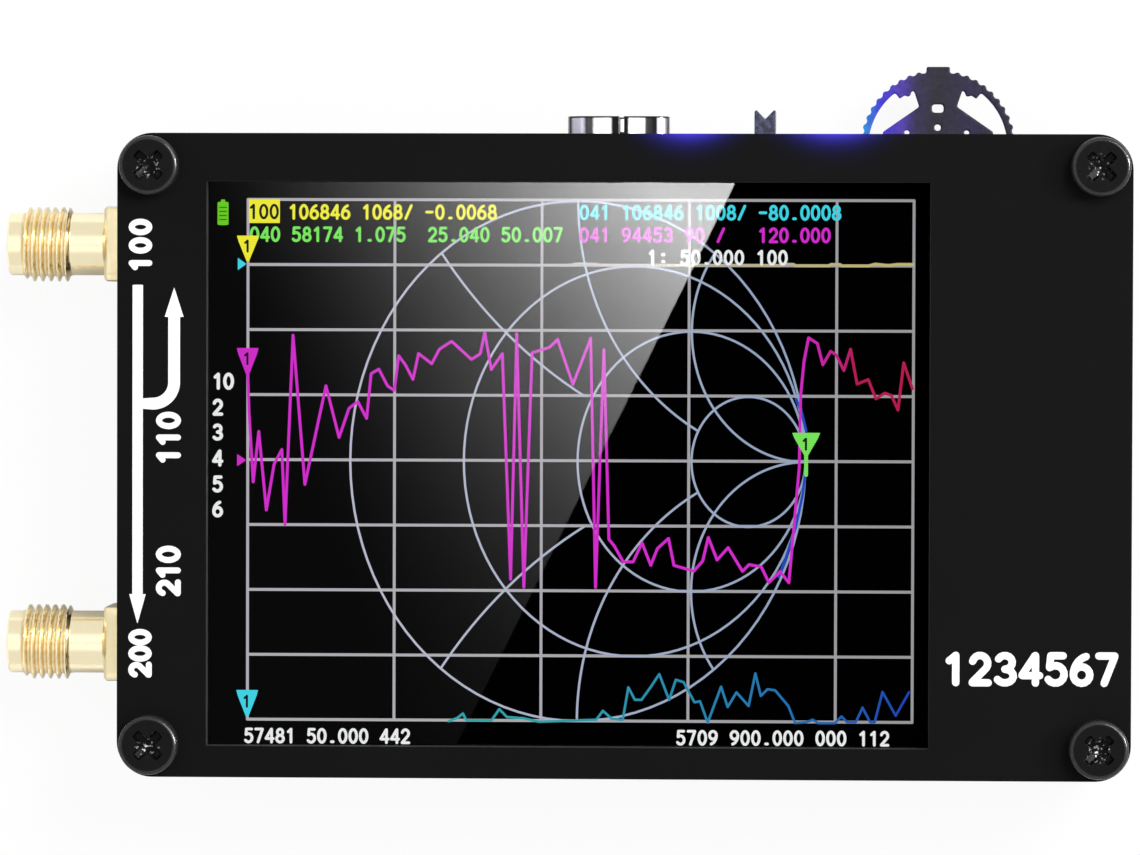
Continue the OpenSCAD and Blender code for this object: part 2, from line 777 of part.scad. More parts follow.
// In plan the pad is up and the pivot is at the origin: a ribbed rim on a flared arm
module jog_lever() {
    first_rib = 2;
    rib_count = floor(rim_end / rib_step) - first_rib;
    hook_a = 29;
    arm_w = neck_w + 1.0;
    color([0.14, 0.14, 0.16]) on_rear(jog_x, jog_y) translate([0, 0, lever_z]) difference() {
        union() {
            rim_sector(rim_t, rim_end);
            rim_sector(rim_thick_t, thick_end);
            for (s = [-1, 1]) {
                rotate(s * hook_a) translate([0, arm_top, 0]) cylinder(r = rib_r, h = lever_t);
                for (i = [first_rib : first_rib + rib_count - 1]) rotate(s * i * rib_step)
                    translate([0, rim_r - rib_r / 4, 0]) cylinder(r = rib_r, h = lever_t);
            }
            translate([-pad_w / 2, arm_top, 0]) cube([pad_w, pad_top - arm_top, lever_t]);
            cylinder(r = hub_r, h = lever_t);
            linear_extrude(lever_t) polygon([
                [-arm_w / 2, arm_top + 0.3],
                [arm_w / 2, arm_top + 0.3],
                [arm_w / 2, arm_top - 0.3],
                [neck_w / 2, neck_y],
                [skirt_w / 2, skirt_y],
                skirt_corner,
                [hub_r, 0],
                [-hub_r, 0],
                [-skirt_corner[0], skirt_corner[1]],
                [-skirt_w / 2, skirt_y],
                [-neck_w / 2, neck_y],
                [-arm_w / 2, arm_top - 0.3]
            ]);
        }
        translate([0, 0, -cut]) cylinder(d = pivot_d + 2 * fit, h = lever_t + 2 * cut);
    }
}

// ------------------------------------------------------------------ rest of the rear side

// The power light is left of the switch and the charging light right of it
module status_leds() {
    led_w = 1.6;
    led_l = 0.8;
    led_h = 0.7;
    power_x = switch_left - power_light_room / 2;
    charge_x = switch_right + 0.25 + led_w / 2;
    color([0.35, 0.45, 1]) for (x = [power_x, charge_x]) on_rear(x, top_y - led_l / 2 - 0.2)
        slab(led_w, led_l, led_h);
}

// Rows and columns of the chips, from the left and top edges of the board
chip_gap = 1.0;
part_space = 2.5;                           // from a chip to the row of parts below it
plug_space = 4.0;
cell_space = 5.75;
part_size = [0.5, 1.0, 0.45];
can_size = [14, 12, 2.4];
mixer_size = [4, 5, 1.4];
clock_size = [3, 3, 0.95];
codec_size = [5, 5, 0.9];
processor_size = [7, 7, 1.4];
charger_size = [3.9, 4.9, 1.45];
regulator_size = [1.6, 2.9, 1.1];
crystal_size = [2.5, 3.2, 0.9];
can_x = board_left + leg_l + chip_gap + 1 + can_size[0] / 2;
mixer_x = can_x + can_size[0] / 2 + chip_gap + 3 + mixer_size[0] / 2;
processor_x = mixer_x + mixer_size[0] / 2 + chip_gap + 2.5 + processor_size[0] / 2;
can_ys = [port_1_y - 2, port_2_y + 2];
middle_y = (can_ys[0] + can_ys[1]) / 2;
processor_y = top_y - 13.2;
codec_y = processor_y - 11;
charger_y = top_y - 14.7;
row_y = charger_y - charger_size[1] / 2 - chip_gap - part_size[1] / 2;

// The pouch cell fills the rear side from its plug to the posts and up to the row of chip parts
cell_clear = 0.3;
lead_d = 1.0;
lead_run = 4.0;
plug_size = [4.5, 4.0, 2.4];
socket_t = 0.6;
pouch_left = processor_x + processor_size[0] / 2 + cell_space;
pouch_right = case_w / 2 - screw_inset - hex_af / 2 - pouch_gap;
pouch_low = -top_y + pouch_bottom;
pouch_top = row_y - part_size[1] / 2 - 1.6;
pouch_w = pouch_right - pouch_left;
pouch_l = pouch_top - pouch_low;
pouch_t = rear_gap - foam_t - cell_clear;
plug_x = pouch_left - lead_run - plug_size[0] / 2;
plug_y = codec_y - codec_size[1] / 2 - plug_space - plug_size[1];
lead_z = z_board - socket_t - plug_size[2] / 2;

module battery() {
    edge_r = 1.0;
    color([0.75, 0.77, 0.8]) translate([pouch_left, pouch_low, z_rear + foam_t])
        round_plate(pouch_w, pouch_l, pouch_t, edge_r);
}

module battery_tape() {
    color([0.2, 0.2, 0.2]) translate([pouch_left + pouch_w / 2, pouch_low + pouch_l / 2, z_rear])
        slab(pouch_w * 0.7, pouch_l * 0.5, foam_t);
}

// Two insulated leads lie side by side from the plug to the cell's left end
module battery_leads() {
    color([0.7, 0.1, 0.1]) for (s = [-1, 1])
        translate([plug_x + plug_size[0] / 2, plug_y + s * 0.75 * lead_d, lead_z]) rotate([0, 90, 0])
            cylinder(d = lead_d, h = lead_run);
}

module battery_plug() {
    color([0.93, 0.92, 0.88]) on_rear(plug_x, plug_y) translate([0, 0, socket_t])
        slab(plug_size[0], plug_size[1], plug_size[2]);
}

module battery_socket() {
    wall = 0.7;
    color([0.9, 0.89, 0.85]) on_rear(plug_x, plug_y) {
        slab(plug_size[0], plug_size[1] + 2 * (wall + fit), socket_t);
        for (s = [-1, 1]) translate([0, s * (plug_size[1] / 2 + fit + wall / 2), 0])
            slab(plug_size[0], wall, plug_size[2]);
    }
}

// A drawn can over the input stage of each port, open towards the board
module shield_can(y) {
    color([0.8, 0.8, 0.82]) on_rear(can_x, y) difference() {
        slab(can_size[0], can_size[1], can_size[2]);
        translate([0, 0, -cut])
            slab(can_size[0] - 2 * sheet_t, can_size[1] - 2 * sheet_t, can_size[2] - sheet_t + cut);
    }
}

module port_1_shield() {
    shield_can(can_ys[0]);
}

module port_2_shield() {
    shield_can(can_ys[1]);
}

module mixers() {
    color([0.1, 0.1, 0.1]) for (y = [can_ys[0], middle_y, can_ys[1]]) on_rear(mixer_x, y)
        chip(mixer_size, 4, 1.27, [0, 180]);
}

module clock_chip() {
    color([0.1, 0.1, 0.1]) on_rear(can_x, middle_y) chip(clock_size, 5, 0.5, [0, 180]);
}

module audio_codec() {
    color([0.1, 0.1, 0.1]) on_rear(processor_x, codec_y) chip(codec_size, 8, 0.5, [0, 90, 180, 270]);
}

module processor() {
    color([0.1, 0.1, 0.1]) on_rear(processor_x, processor_y)
        chip(processor_size, 12, 0.5, [0, 90, 180, 270]);
}

// One beside the clock chip and one beside the processor
module crystals() {
    color([0.8, 0.8, 0.78]) {
        on_rear(can_x - clock_size[0] / 2 - 2 * chip_gap - crystal_size[0] / 2, middle_y)
            slab(crystal_size[0], crystal_size[1], crystal_size[2]);
        on_rear(processor_x + processor_size[0] / 2 + 3 * chip_gap, processor_y)
            slab(crystal_size[0], crystal_size[1], crystal_size[2]);
    }
}

module charger_chip() {
    color([0.1, 0.1, 0.1]) on_rear(usb_x + 7 * chip_gap, charger_y) chip(charger_size, 4, 1.27, [0, 180]);
}

module regulators() {
    color([0.1, 0.1, 0.1]) for (i = [0, 1]) on_rear(usb_x + (14 + 5 * i) * chip_gap, charger_y)
        chip(regulator_size, 3, 0.95, [0, 180]);
}

// A row of small resistors and capacitors, from its left end
module part_row(x, y, count, pitch) {
    for (i = [0 : count - 1]) on_rear(x + i * pitch, y) slab(part_size[0], part_size[1], part_size[2]);
}

module chip_parts() {
    can_space = 3.4;
    row_room = (can_ys[0] - can_ys[1]) / 2 - can_size[1] / 2 - can_space;
    color([0.55, 0.45, 0.35]) {
        for (s = [-1, 1]) part_row(can_x - 4.5 * chip_gap, middle_y + s * row_room, 10, chip_gap);
        part_row(processor_x - 3.5 * chip_gap, codec_y - codec_size[1] / 2 - part_space, 8, chip_gap);
        part_row(usb_x + 12 * chip_gap, row_y, 6, 1.6 * chip_gap);
    }
}

at_origin() front_panel();
at_origin() back_panel();
at_origin() front_screws();
at_origin() rear_screws();
at_origin() front_standoffs();
at_origin() rear_standoffs();
at_origin() main_board();
at_origin() display_tray();
at_origin() light_guide();
at_origin() display_cell();
at_origin() polariser();
at_origin() touch_adhesive();
at_origin() touch_panel();
at_origin() display_flex();
at_origin() touch_flex();
at_origin() display_tape();
at_origin() port_1_body();
at_origin() port_1_dielectric();
at_origin() port_1_contact();
at_origin() port_2_body();
at_origin() port_2_dielectric();
at_origin() port_2_contact();
at_origin() usb_shell();
at_origin() usb_insert();
at_origin() usb_contacts();
at_origin() switch_base();
at_origin() switch_frame();
at_origin() switch_pins();
at_origin() power_knob();
at_origin() jog_base();
at_origin() jog_cover();
at_origin() jog_contacts();
at_origin() jog_slider();
at_origin() jog_lever();
at_origin() status_leds();
at_origin() battery();
at_origin() battery_tape();
at_origin() battery_leads();
at_origin() battery_plug();
at_origin() battery_socket();
at_origin() port_1_shield();
at_origin() port_2_shield();
at_origin() processor();
at_origin() audio_codec();
at_origin() clock_chip();
at_origin() crystals();
at_origin() mixers();
at_origin() charger_chip();
at_origin() regulators();
at_origin() chip_parts();
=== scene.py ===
"""A pocket antenna analyzer: looks and stage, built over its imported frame.

Named sizes are in millimetres and meshes are in metres, both in the frame's own axes: x runs right along the
face, y up the face towards the jog lever and z out of the screen.
"""
import math

import bmesh
import bpy
import numpy as np
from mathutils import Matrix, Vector


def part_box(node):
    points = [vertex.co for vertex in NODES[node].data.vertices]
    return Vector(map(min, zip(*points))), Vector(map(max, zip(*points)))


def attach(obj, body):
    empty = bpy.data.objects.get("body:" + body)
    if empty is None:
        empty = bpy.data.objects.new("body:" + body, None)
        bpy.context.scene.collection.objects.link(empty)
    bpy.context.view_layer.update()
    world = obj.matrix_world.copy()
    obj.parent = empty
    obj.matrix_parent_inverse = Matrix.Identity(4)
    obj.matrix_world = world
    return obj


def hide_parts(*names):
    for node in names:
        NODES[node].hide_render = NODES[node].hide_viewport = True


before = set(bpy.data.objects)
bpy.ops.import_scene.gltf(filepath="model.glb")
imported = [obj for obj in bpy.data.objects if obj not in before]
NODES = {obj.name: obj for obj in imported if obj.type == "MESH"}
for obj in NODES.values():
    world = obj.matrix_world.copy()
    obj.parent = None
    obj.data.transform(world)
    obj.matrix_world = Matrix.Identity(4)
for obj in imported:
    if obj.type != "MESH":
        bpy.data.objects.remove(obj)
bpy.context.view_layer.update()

bl_info = {
    "name": "Antenna Analyzer",
    "version": (1, 0, 0),
    "blender": (4, 5, 0),
    "location": "3D View > Sidebar > Analyzer",
    "description": "Pocket antenna analyzer with two coaxial ports, a lit touch screen and a jog lever",
    "category": "Add Mesh",
}

MM = 0.001
AROUND = 96          # steps round a turned surface
WELD = 2e-7          # metres within which points of a mesh become one
NEAR_CAD = 1e-6      # the same, for copies of the frame's triangles
WHITE = (1, 1, 1, 1)
PLAIN_NECK, THREAD_MIDDLE = 2.66, 2.85      # radii of a port, just over its neck and halfway up its thread


def corners(node):
    """Lowest and highest corners of a frame node in millimetres."""
    low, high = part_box(node)
    return np.array(low) / MM, np.array(high) / MM


PANEL_LOW, PANEL_HIGH = corners("front_panel")
MIDDLE = (PANEL_LOW + PANEL_HIGH) / 2
FACE = PANEL_HIGH[2]
GLASS_TOP = corners("touch_panel")[1][2]
FILM_LOW, FILM_HIGH = corners("polariser")
FILM_TOP = FILM_HIGH[2]
LEVER_LOW, LEVER_HIGH = corners("jog_lever")
LEVER_RADIUS = 6.9
PIVOT_X, PIVOT_Y = (LEVER_LOW[0] + LEVER_HIGH[0]) / 2, LEVER_HIGH[1] - LEVER_RADIUS
# Places and reaches of the painted blue glow of the status lights on the front panel's top edge
LIGHTS = ((MIDDLE[0] + 5.4, 2.5), (MIDDLE[0] + 17.7, 2.8))      # place and reach of each glow at the top edge

# The photograph was taken almost straight down, from 450 mm above the face
CAMERA_PLACE = (MIDDLE[0] + 9.761, MIDDLE[1] + 11.491, FACE + 450)
CAMERA_TURN = (-1.1451, 1.8157, 0.1569)
CAMERA_LENS = 168.86

# The screen: size of a picture element, its top left corner, and the thickness of its marks and their heights
# over the polariser; marks that cross lie on different levels
PIXEL = (0.18697, 0.19009)
SCREEN_LEFT, SCREEN_TOP = MIDDLE[0] - 34.70, MIDDLE[1] + 21.65
THIN = 0.005
APART = 0.0015
LEVELS = {"grid": 0.016, "first": 0.0188, "chart": 0.02, "second": 0.024, "third": 0.026, "fourth": 0.028,
          "block": 0.03, "cap": 0.032, "row": 0.034, "on_block": 0.036, "bar": 0.037, "stem": 0.038,
          "flag": 0.04, "top_row": 0.044, "on_flag": 0.048}

# Corners of the drawn traces in picture elements, counted right and down from the screen's top left corner
FIRST_TRACE = (
    (15, 29), (162, 29), (163, 28.4), (173, 28.4), (174, 28.9), (256, 28.9), (257, 28.4), (262, 28.4),
    (263, 29), (278, 29), (279, 28.4), (283, 28.4), (284, 29), (296, 29), (299, 28.2), (305, 28.8),
    (309, 28.3), (316, 28.3),
)
PHASE_TRACE = (
    (15, 78), (15.5, 94.5), (17.5, 126), (20, 103.5), (23.5, 138.5), (27, 118), (30.5, 111.5), (32, 145),
    (35.5, 60.5), (41, 127), (50.5, 83), (56.5, 106), (61, 93), (65, 90), (69, 97.5), (71, 77.5),
    (74.5, 75.5), (78.5, 83), (81.5, 85), (83.5, 69.5), (86.5, 73.5), (90, 80), (92.5, 68.5), (98.5, 73),
    (102, 66.5), (107.5, 63), (116.5, 71), (120.5, 68.5), (122.5, 59), (125.5, 75.5), (130.5, 68.5),
    (134.5, 169), (137, 59.5), (140.5, 172.5), (144, 68), (152, 65.5), (155.5, 62), (162.5, 82),
    (170.5, 61.5), (173, 172.5), (176.5, 66.5), (179, 151), (181.5, 154), (185.5, 161), (190, 161),
    (194, 152.5), (198, 162.5), (201, 155), (206, 150.5), (208.5, 162.5), (217.5, 165), (221.5, 160.5),
    (224, 150), (228, 160), (233, 154.5), (239.5, 165), (242.5, 162), (248, 163), (251.5, 170),
    (256.5, 165), (260.5, 170), (265, 119), (265.5, 87), (267, 71.5), (269, 61), (273, 63.5), (275.5, 73),
    (279, 67), (281.5, 68.5), (285, 75.5), (288, 66), (291, 81.5), (296, 79.5), (299.5, 88), (303.5, 85.5),
    (306.5, 86.5), (309.5, 93), (312, 72), (316, 83.5),
)
FLOOR_TRACE = (
    (106.5, 232.5), (110.5, 231), (113, 229), (114.5, 232), (126, 232), (129.5, 227), (133, 230.5),
    (140.5, 231), (147.5, 232.5), (173.5, 231.5), (176.5, 227.5), (180.5, 231), (185.5, 231.5), (188, 217),
    (191, 222.5), (194, 222.5), (198, 217), (202, 211), (206.5, 222.5), (209.5, 213.5), (213, 214.5),
    (218, 223.5), (220.5, 223), (224, 232.5), (230, 216.5), (233, 225.5), (237, 219), (242.5, 225),
    (245.5, 210.5), (248, 220.5), (251, 217.5), (254.5, 218), (260.5, 225), (263.5, 232.5), (269, 232),
    (271.5, 231), (274, 232.5), (281.5, 232.5), (284.5, 229.5), (287, 232), (291, 232), (294, 225.5),
    (297.5, 232), (299.5, 232), (303, 218.5), (309, 229), (315, 218.5),
)


# ------------------------------------------------------------------ meshes

def grid_faces(count, rows, columns):
    """Quads of count grids in a row: each joins a point to its neighbours in the next row and column."""
    index = np.arange(count * rows * columns).reshape(count, rows, columns)
    loops = [index[:, :-1, :-1], index[:, 1:, :-1], index[:, 1:, 1:], index[:, :-1, 1:]]
    return np.stack(loops, axis=-1).reshape(-1, 4)


def raw_mesh(name, stacks):
    """One mesh from stacks of grids of points, each (count, rows, columns, 3), in millimetres."""
    starts = np.cumsum([0] + [stack.size // 3 for stack in stacks])
    faces = np.concatenate([grid_faces(*stack.shape[:3]) + start for stack, start in zip(stacks, starts)])
    points = np.concatenate([stack.reshape(-1, 3) for stack in stacks]) * MM
    mesh = bpy.data.meshes.new(name)
    mesh.from_pydata(points.tolist(), [], faces.tolist())
    mesh.validate()
    return mesh


def merged(name, source, near, degenerate=False, flat=False):
    """A copy of a mesh with points within near merged and faces outwards.

    Faces without area may be dissolved too, and flat faces made whole.
    """
    work = bmesh.new()
    work.from_mesh(source)
    bmesh.ops.remove_doubles(work, verts=work.verts, dist=near)
    if degenerate:
        bmesh.ops.dissolve_degenerate(work, edges=work.edges, dist=near / 2)
    if flat:
        bmesh.ops.dissolve_limit(work, angle_limit=math.radians(1), verts=work.verts, edges=work.edges)
    bmesh.ops.recalc_face_normals(work, faces=work.faces)
    mesh = bpy.data.meshes.new(name)
    work.to_mesh(mesh)
    work.free()
    return mesh


def mesh_of(name, grids):
    """A mesh from grids of points, each (rows, columns, 3) or a stack of them, its seams and poles merged."""
    source = raw_mesh(name + "_points", [grid if grid.ndim == 4 else grid[None] for grid in grids])
    mesh = merged(name, source, WELD, degenerate=True)
    bpy.data.meshes.remove(source)
    return mesh


def cut_through(mesh, grids):
    """The mesh without the room that the grids' closed shapes take."""
    things = [bpy.data.objects.new("shape", mesh), bpy.data.objects.new("cutter", mesh_of("cutter", grids))]
    for thing in things:
        bpy.context.scene.collection.objects.link(thing)
    cut = things[0].modifiers.new("cut", "BOOLEAN")
    cut.operation = "DIFFERENCE"
    cut.object = things[1]
    cut.solver = "EXACT"
    bpy.context.view_layer.update()
    made = bpy.data.meshes.new_from_object(things[0].evaluated_get(bpy.context.evaluated_depsgraph_get()))
    for thing in things:
        old = thing.data
        bpy.data.objects.remove(thing)
        bpy.data.meshes.remove(old)
    return made


def finish_piece(name, mesh, paint, body="case", replaces=(), sharp=35):
    """Shades a mesh smooth up to an angle, paints it and lets it ride on its body."""
    mesh.shade_smooth()
    mesh.set_sharp_from_angle(angle=math.radians(sharp))
    mesh.materials.clear()
    mesh.materials.append(paint)
    piece = bpy.data.objects.new(name, mesh)
    bpy.context.scene.collection.objects.link(piece)
    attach(piece, body)
    if replaces:
        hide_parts(*replaces)
    return piece


def soft_edged(name, node, paint, body, width, sharp=40):
    """A merged copy of a frame node whose sharp edges are rounded off by width millimetres."""
    mesh = merged(name, NODES[node].data, NEAR_CAD, flat=True)
    piece = finish_piece(name, mesh, paint, body, (node,), sharp)
    bevel = piece.modifiers.new("soft edges", "BEVEL")
    bevel.width = width * MM
    bevel.segments = 2
    bevel.limit_method = "ANGLE"
    bevel.angle_limit = math.radians(sharp)
    bevel.harden_normals = True
    return piece


def rounded_box(low, high, edge, steps=2):
    """Closed box with round edges: a sphere grid's directions, each added to the centre of its own corner."""
    low, high = np.minimum(low, high).astype(float), np.maximum(low, high).astype(float)
    edge = min(edge, 0.49 * (high - low).min())
    middle, half = (low + high) / 2, (high - low) / 2 - edge
    quarter = np.linspace(0, np.pi / 2, steps + 1)
    around = np.concatenate([quarter + k * np.pi / 2 for k in range(4)] + [[2 * np.pi]])
    side_x = np.append(np.repeat([1, -1, -1, 1], steps + 1), 1)
    side_y = np.append(np.repeat([1, 1, -1, -1], steps + 1), 1)
    rise = np.concatenate([quarter - np.pi / 2, quarter])[:, None]
    side_z = np.repeat([-1, 1], steps + 1)[:, None]
    grid = np.stack([
        side_x * half[0] + edge * np.cos(rise) * np.cos(around),
        side_y * half[1] + edge * np.cos(rise) * np.sin(around),
        side_z * half[2] + edge * np.sin(rise) + 0 * around,
    ], axis=-1) + middle
    floor = np.zeros((1, grid.shape[1], 3)) + middle - [0, 0, half[2] + edge]
    roof = np.zeros((1, grid.shape[1], 3)) + middle + [0, 0, half[2] + edge]
    return np.concatenate([floor, grid, roof])


def boxes(centres, size, edge, steps=1):
    """A stack of equal rounded boxes, one on each centre."""
    size = np.asarray(size, float)
    return rounded_box(-size / 2, size / 2, edge, steps)[None] + np.asarray(centres, float)[:, None, None, :]


def stroke(points, width, level, thick, cap=None):
    """A thin closed strip along points, width across, from level up by thick, with half-round or given caps.

    Its edges stand off the line by half the width over the cosine of half the turn, at most twice that half.
    """
    points = np.asarray(points, float)
    closed = len(points) > 2 and np.allclose(points[0], points[-1])
    run = np.diff(points, axis=0)
    run = run / np.linalg.norm(run, axis=1, keepdims=True)
    before = np.vstack([run[-1:] if closed else run[:1], run])
    after = np.vstack([run, run[:1] if closed else run[-1:]])
    size = np.maximum(np.linalg.norm(before + after, axis=1, keepdims=True), 1e-6)
    along = (before + after) / size
    half = np.broadcast_to(np.reshape(width, (-1, 1)), (len(points), 1)) / 2
    ends = half[0, 0], half[-1, 0]
    half = half * np.minimum(2 / size, 2)
    if not closed:
        bend = np.radians([90, 60, 30])[:, None]
        first, last = (end if cap is None else cap for end in ends)
        points = np.vstack([points[0] - run[0] * first * np.sin(bend), points,
                            points[-1] + run[-1] * last * np.sin(bend[::-1])])
        along = np.vstack([run[[0, 0, 0]], along, run[[-1, -1, -1]]])
        half = np.vstack([ends[0] * np.cos(bend), half, ends[1] * np.cos(bend[::-1])])
    across = np.stack([-along[:, 1], along[:, 0]], axis=-1) * half
    side = np.stack([points + sign * across for sign in (1, -1, -1, 1, 1)], axis=1)
    rise = np.broadcast_to(level + thick * np.array([1, 1, 0, 0, 1]), side.shape[:2])
    return np.concatenate([side, rise[..., None]], axis=-1)


def beads(points, width, level, thick):
    """A broken line as one round-ended stroke for each of its parts, on two levels in turn."""
    return [stroke(points[k:k + 2], width, level + APART * (k % 2), thick) for k in range(len(points) - 1)]


def arc(x, y, wide, high, first, last, count=12):
    """Points on an ellipse, from one angle in degrees to another."""
    angle = np.radians(np.linspace(first, last, count + 1))
    return np.stack([x + wide * np.cos(angle), y + high * np.sin(angle)], axis=-1)


# Strokes of plain numbers, in a cell 0.6 wide and 1 high
DIGITS = {
    "0": [arc(0.3, 0.5, 0.3, 0.5, 0, 360, 20)],
    "1": [[(0.34, 0), (0.34, 1)], [(0.1, 0.8), (0.34, 1)]],
    "2": [np.concatenate([arc(0.3, 0.71, 0.28, 0.29, 165, -35, 10), [(0.02, 0.02)]]), [(0.02, 0), (0.6, 0)]],
    "3": [arc(0.28, 0.75, 0.27, 0.25, 150, -90, 10), arc(0.28, 0.25, 0.31, 0.25, 90, -150, 10)],
    "4": [[(0.47, 0), (0.47, 1)], [(0, 0.27), (0.62, 0.27)], [(0.45, 1), (-0.02, 0.28)]],
    "5": [[(0.55, 1), (0.1, 1)], arc(0.27, 0.32, 0.32, 0.32, 128, -145, 12), [(0.1, 1), (0.06, 0.57)]],
    "6": [arc(0.3, 0.3, 0.3, 0.3, 0, 360, 16), arc(0.62, 0.3, 0.62, 0.7, 180, 105, 8)],
    "7": [[(0, 1), (0.58, 1)], [(0.58, 0.98), (0.2, 0)]],
    "8": [arc(0.3, 0.76, 0.24, 0.24, 0, 360, 14), arc(0.3, 0.26, 0.3, 0.26, 0, 360, 16)],
    "9": [arc(0.3, 0.7, 0.3, 0.3, 0, 360, 16), arc(-0.02, 0.7, 0.62, 0.7, 0, -75, 8)],
    "-": [[(0.05, 0.5), (0.55, 0.5)]],
    "/": [[(0.05, 0), (0.55, 1)]],
    ".": [[(0.22, 0.05), (0.38, 0.05)]],
    ":": [[(0.22, 0.2), (0.38, 0.2)], [(0.22, 0.72), (0.38, 0.72)]],
    " ": [],
}


def number(text, x, y, height, pitch, width, level, thick, turn=0, wide=1.0):
    """A plain number: its digits stand pitch apart from (x, y), turned about that point.

    Strokes of one digit lie on slightly different levels, so that two that cross don't share a plane.
    """
    angle = math.radians(turn)
    spin = np.array([[math.cos(angle), math.sin(angle)], [-math.sin(angle), math.cos(angle)]])
    made = []
    for place, sign in enumerate(text):
        for k, points in enumerate(DIGITS[sign]):
            points = np.asarray(points, float) * [height * wide, height] + [place * pitch, 0]
            made.append(stroke(points @ spin + [x, y], width, level + 0.003 * k, thick))
    return made


# ------------------------------------------------------------------ materials

class Socket:
    """The output of a shader node; arithmetic on it adds Math nodes."""

    def __init__(self, nodes, socket):
        self.nodes = nodes
        self.socket = socket

    def maths(self, kind, *others):
        """The Math node of that kind, on this value and the others."""
        return self.nodes.node("ShaderNodeMath", dict(enumerate((self,) + others)), operation=kind)

    def __add__(self, other):
        return self.maths("ADD", other)

    def __sub__(self, other):
        return self.maths("SUBTRACT", other)

    def __rsub__(self, other):
        return self * -1.0 + other

    def __mul__(self, other):
        return self.maths("MULTIPLY", other)

    def __truediv__(self, other):
        return self.maths("DIVIDE", other)

    def __pow__(self, other):
        return self.maths("POWER", other)

    __radd__ = __add__
    __rmul__ = __mul__

    def far(self):
        """How far the value is from 0."""
        return self.maths("ABSOLUTE")

    def fade(self):
        """Falls from 1 towards 0 as the value grows."""
        return (self * -1.0).maths("EXPONENT")

    def wave(self):
        """Runs between 0 and 1, once in each turn of the value."""
        return self.maths("SINE") * 0.5 + 0.5

    def over(self, edge, blur):
        """Rises from 0 to 1 as the value passes edge, over a width of blur."""
        return ((self - edge) / blur + 0.5).maths("MAXIMUM", 0.0).maths("MINIMUM", 1.0)


class Nodes:
    """A node tree, with one way to add a node to it."""

    def __init__(self, tree):
        self.tree = tree

    def put(self, target, value):
        """Links a value to a node's input, or sets it there."""
        if isinstance(value, Socket):
            self.tree.links.new(value.socket, target)
        else:
            target.default_value = value

    def node(self, kind, values=None, output=0, stops=(), **settings):
        """Adds a node: its settings are set first, then the numbers or links of its inputs.

        A ramp's stops are settings too, each a place from 0 to 1 and a colour.
        """
        made = self.tree.nodes.new(kind)
        for key, value in settings.items():
            setattr(made, key, value)
        if stops:
            elements = made.color_ramp.elements
            for _ in stops[2:]:
                elements.new(0.5)
            for element, (position, color) in zip(elements, stops):
                element.position = position
                element.color = (*color, 1)
        for key, value in (values or {}).items():
            self.put(made.inputs[key], value)
        return Socket(self, made.outputs[output])

    def blend(self, amount, first, second):
        """Mixes two shaders."""
        return self.node("ShaderNodeMixShader", {0: amount, 1: first, 2: second})

    def show(self, shader, output="Material Output"):
        """Makes a shader what the output shows."""
        self.put(self.tree.nodes[output].inputs["Surface"], shader)


class Paint(Nodes):
    """A material for one finish, with short ways to the nodes that it uses."""

    def __init__(self, name, color=(0.5, 0.5, 0.5), roughness=0.5, metallic=0.0, **constants):
        self.material = bpy.data.materials.new(name)
        self.material.use_nodes = True
        super().__init__(self.material.node_tree)
        self.shader = self.tree.nodes["Principled BSDF"]
        self.plain = Socket(self, self.shader.outputs[0])
        self.feed(base_color=(*color, 1), roughness=roughness, metallic=metallic, **constants)
        self.place = self.node("ShaderNodeTexCoord", output="Object")
        split = self.node("ShaderNodeSeparateXYZ", {0: self.place}).socket.node
        self.x, self.y, self.z = (Socket(self, output) / MM for output in split.outputs)

    def feed(self, **values):
        """Sets or links inputs of the shader by their names in small letters."""
        for key, value in values.items():
            self.put(self.shader.inputs[key.replace("_", " ").title().replace("Ior", "IOR")], value)
        return self

    def bumped(self, height, depth, strength=1.0):
        """The material, with relief of depth millimetres where height goes from 0 to 1."""
        values = {"Height": height, "Distance": depth * MM, "Strength": strength}
        return self.feed(normal=self.node("ShaderNodeBump", values)).material

    def noise(self, size, detail=2.0, stretch=(1, 1, 1)):
        """Cloudy noise whose blotches are about size millimetres wide, drawn out along an axis by stretch."""
        where = self.node("ShaderNodeMapping", {"Vector": self.place, "Scale": [1 / s for s in stretch]})
        values = {"Vector": where, "Scale": 1 / (size * MM), "Detail": detail}
        return self.node("ShaderNodeTexNoise", values, "Fac")

    def cells(self, size, feature="F1"):
        """Grains about size millimetres across."""
        values = {"Vector": self.place, "Scale": 1 / (size * MM)}
        return self.node("ShaderNodeTexVoronoi", values, "Distance", feature=feature)

    def mix(self, amount, *colors):
        """Blends two colours."""
        first, second = (color if isinstance(color, Socket) else (*color, 1) for color in colors)
        return self.node("ShaderNodeMix", {0: amount, 6: first, 7: second}, 2, data_type="RGBA")

    def distance(self, x, y):
        """Distance from an upright axis, in millimetres."""
        return ((self.x - x) ** 2 + (self.y - y) ** 2) ** 0.5

    def side(self, edge=0.5, blur=0.2):
        """1 where the surface stands upright, and 0 where it faces up or down."""
        normal = self.node("ShaderNodeNewGeometry", output="Normal")
        return 1 - self.node("ShaderNodeSeparateXYZ", {0: normal}, 2).far().over(edge, blur)

    def laid_up(self, mask, pitch, dark, pale):
        """A board's mask on its faces, and layers of glass cloth, pitch millimetres apart, on its edges."""
        cloth = self.mix((self.z * (2 * math.pi / pitch)).wave(), dark, pale)
        return self.mix(self.side(), mask, cloth)


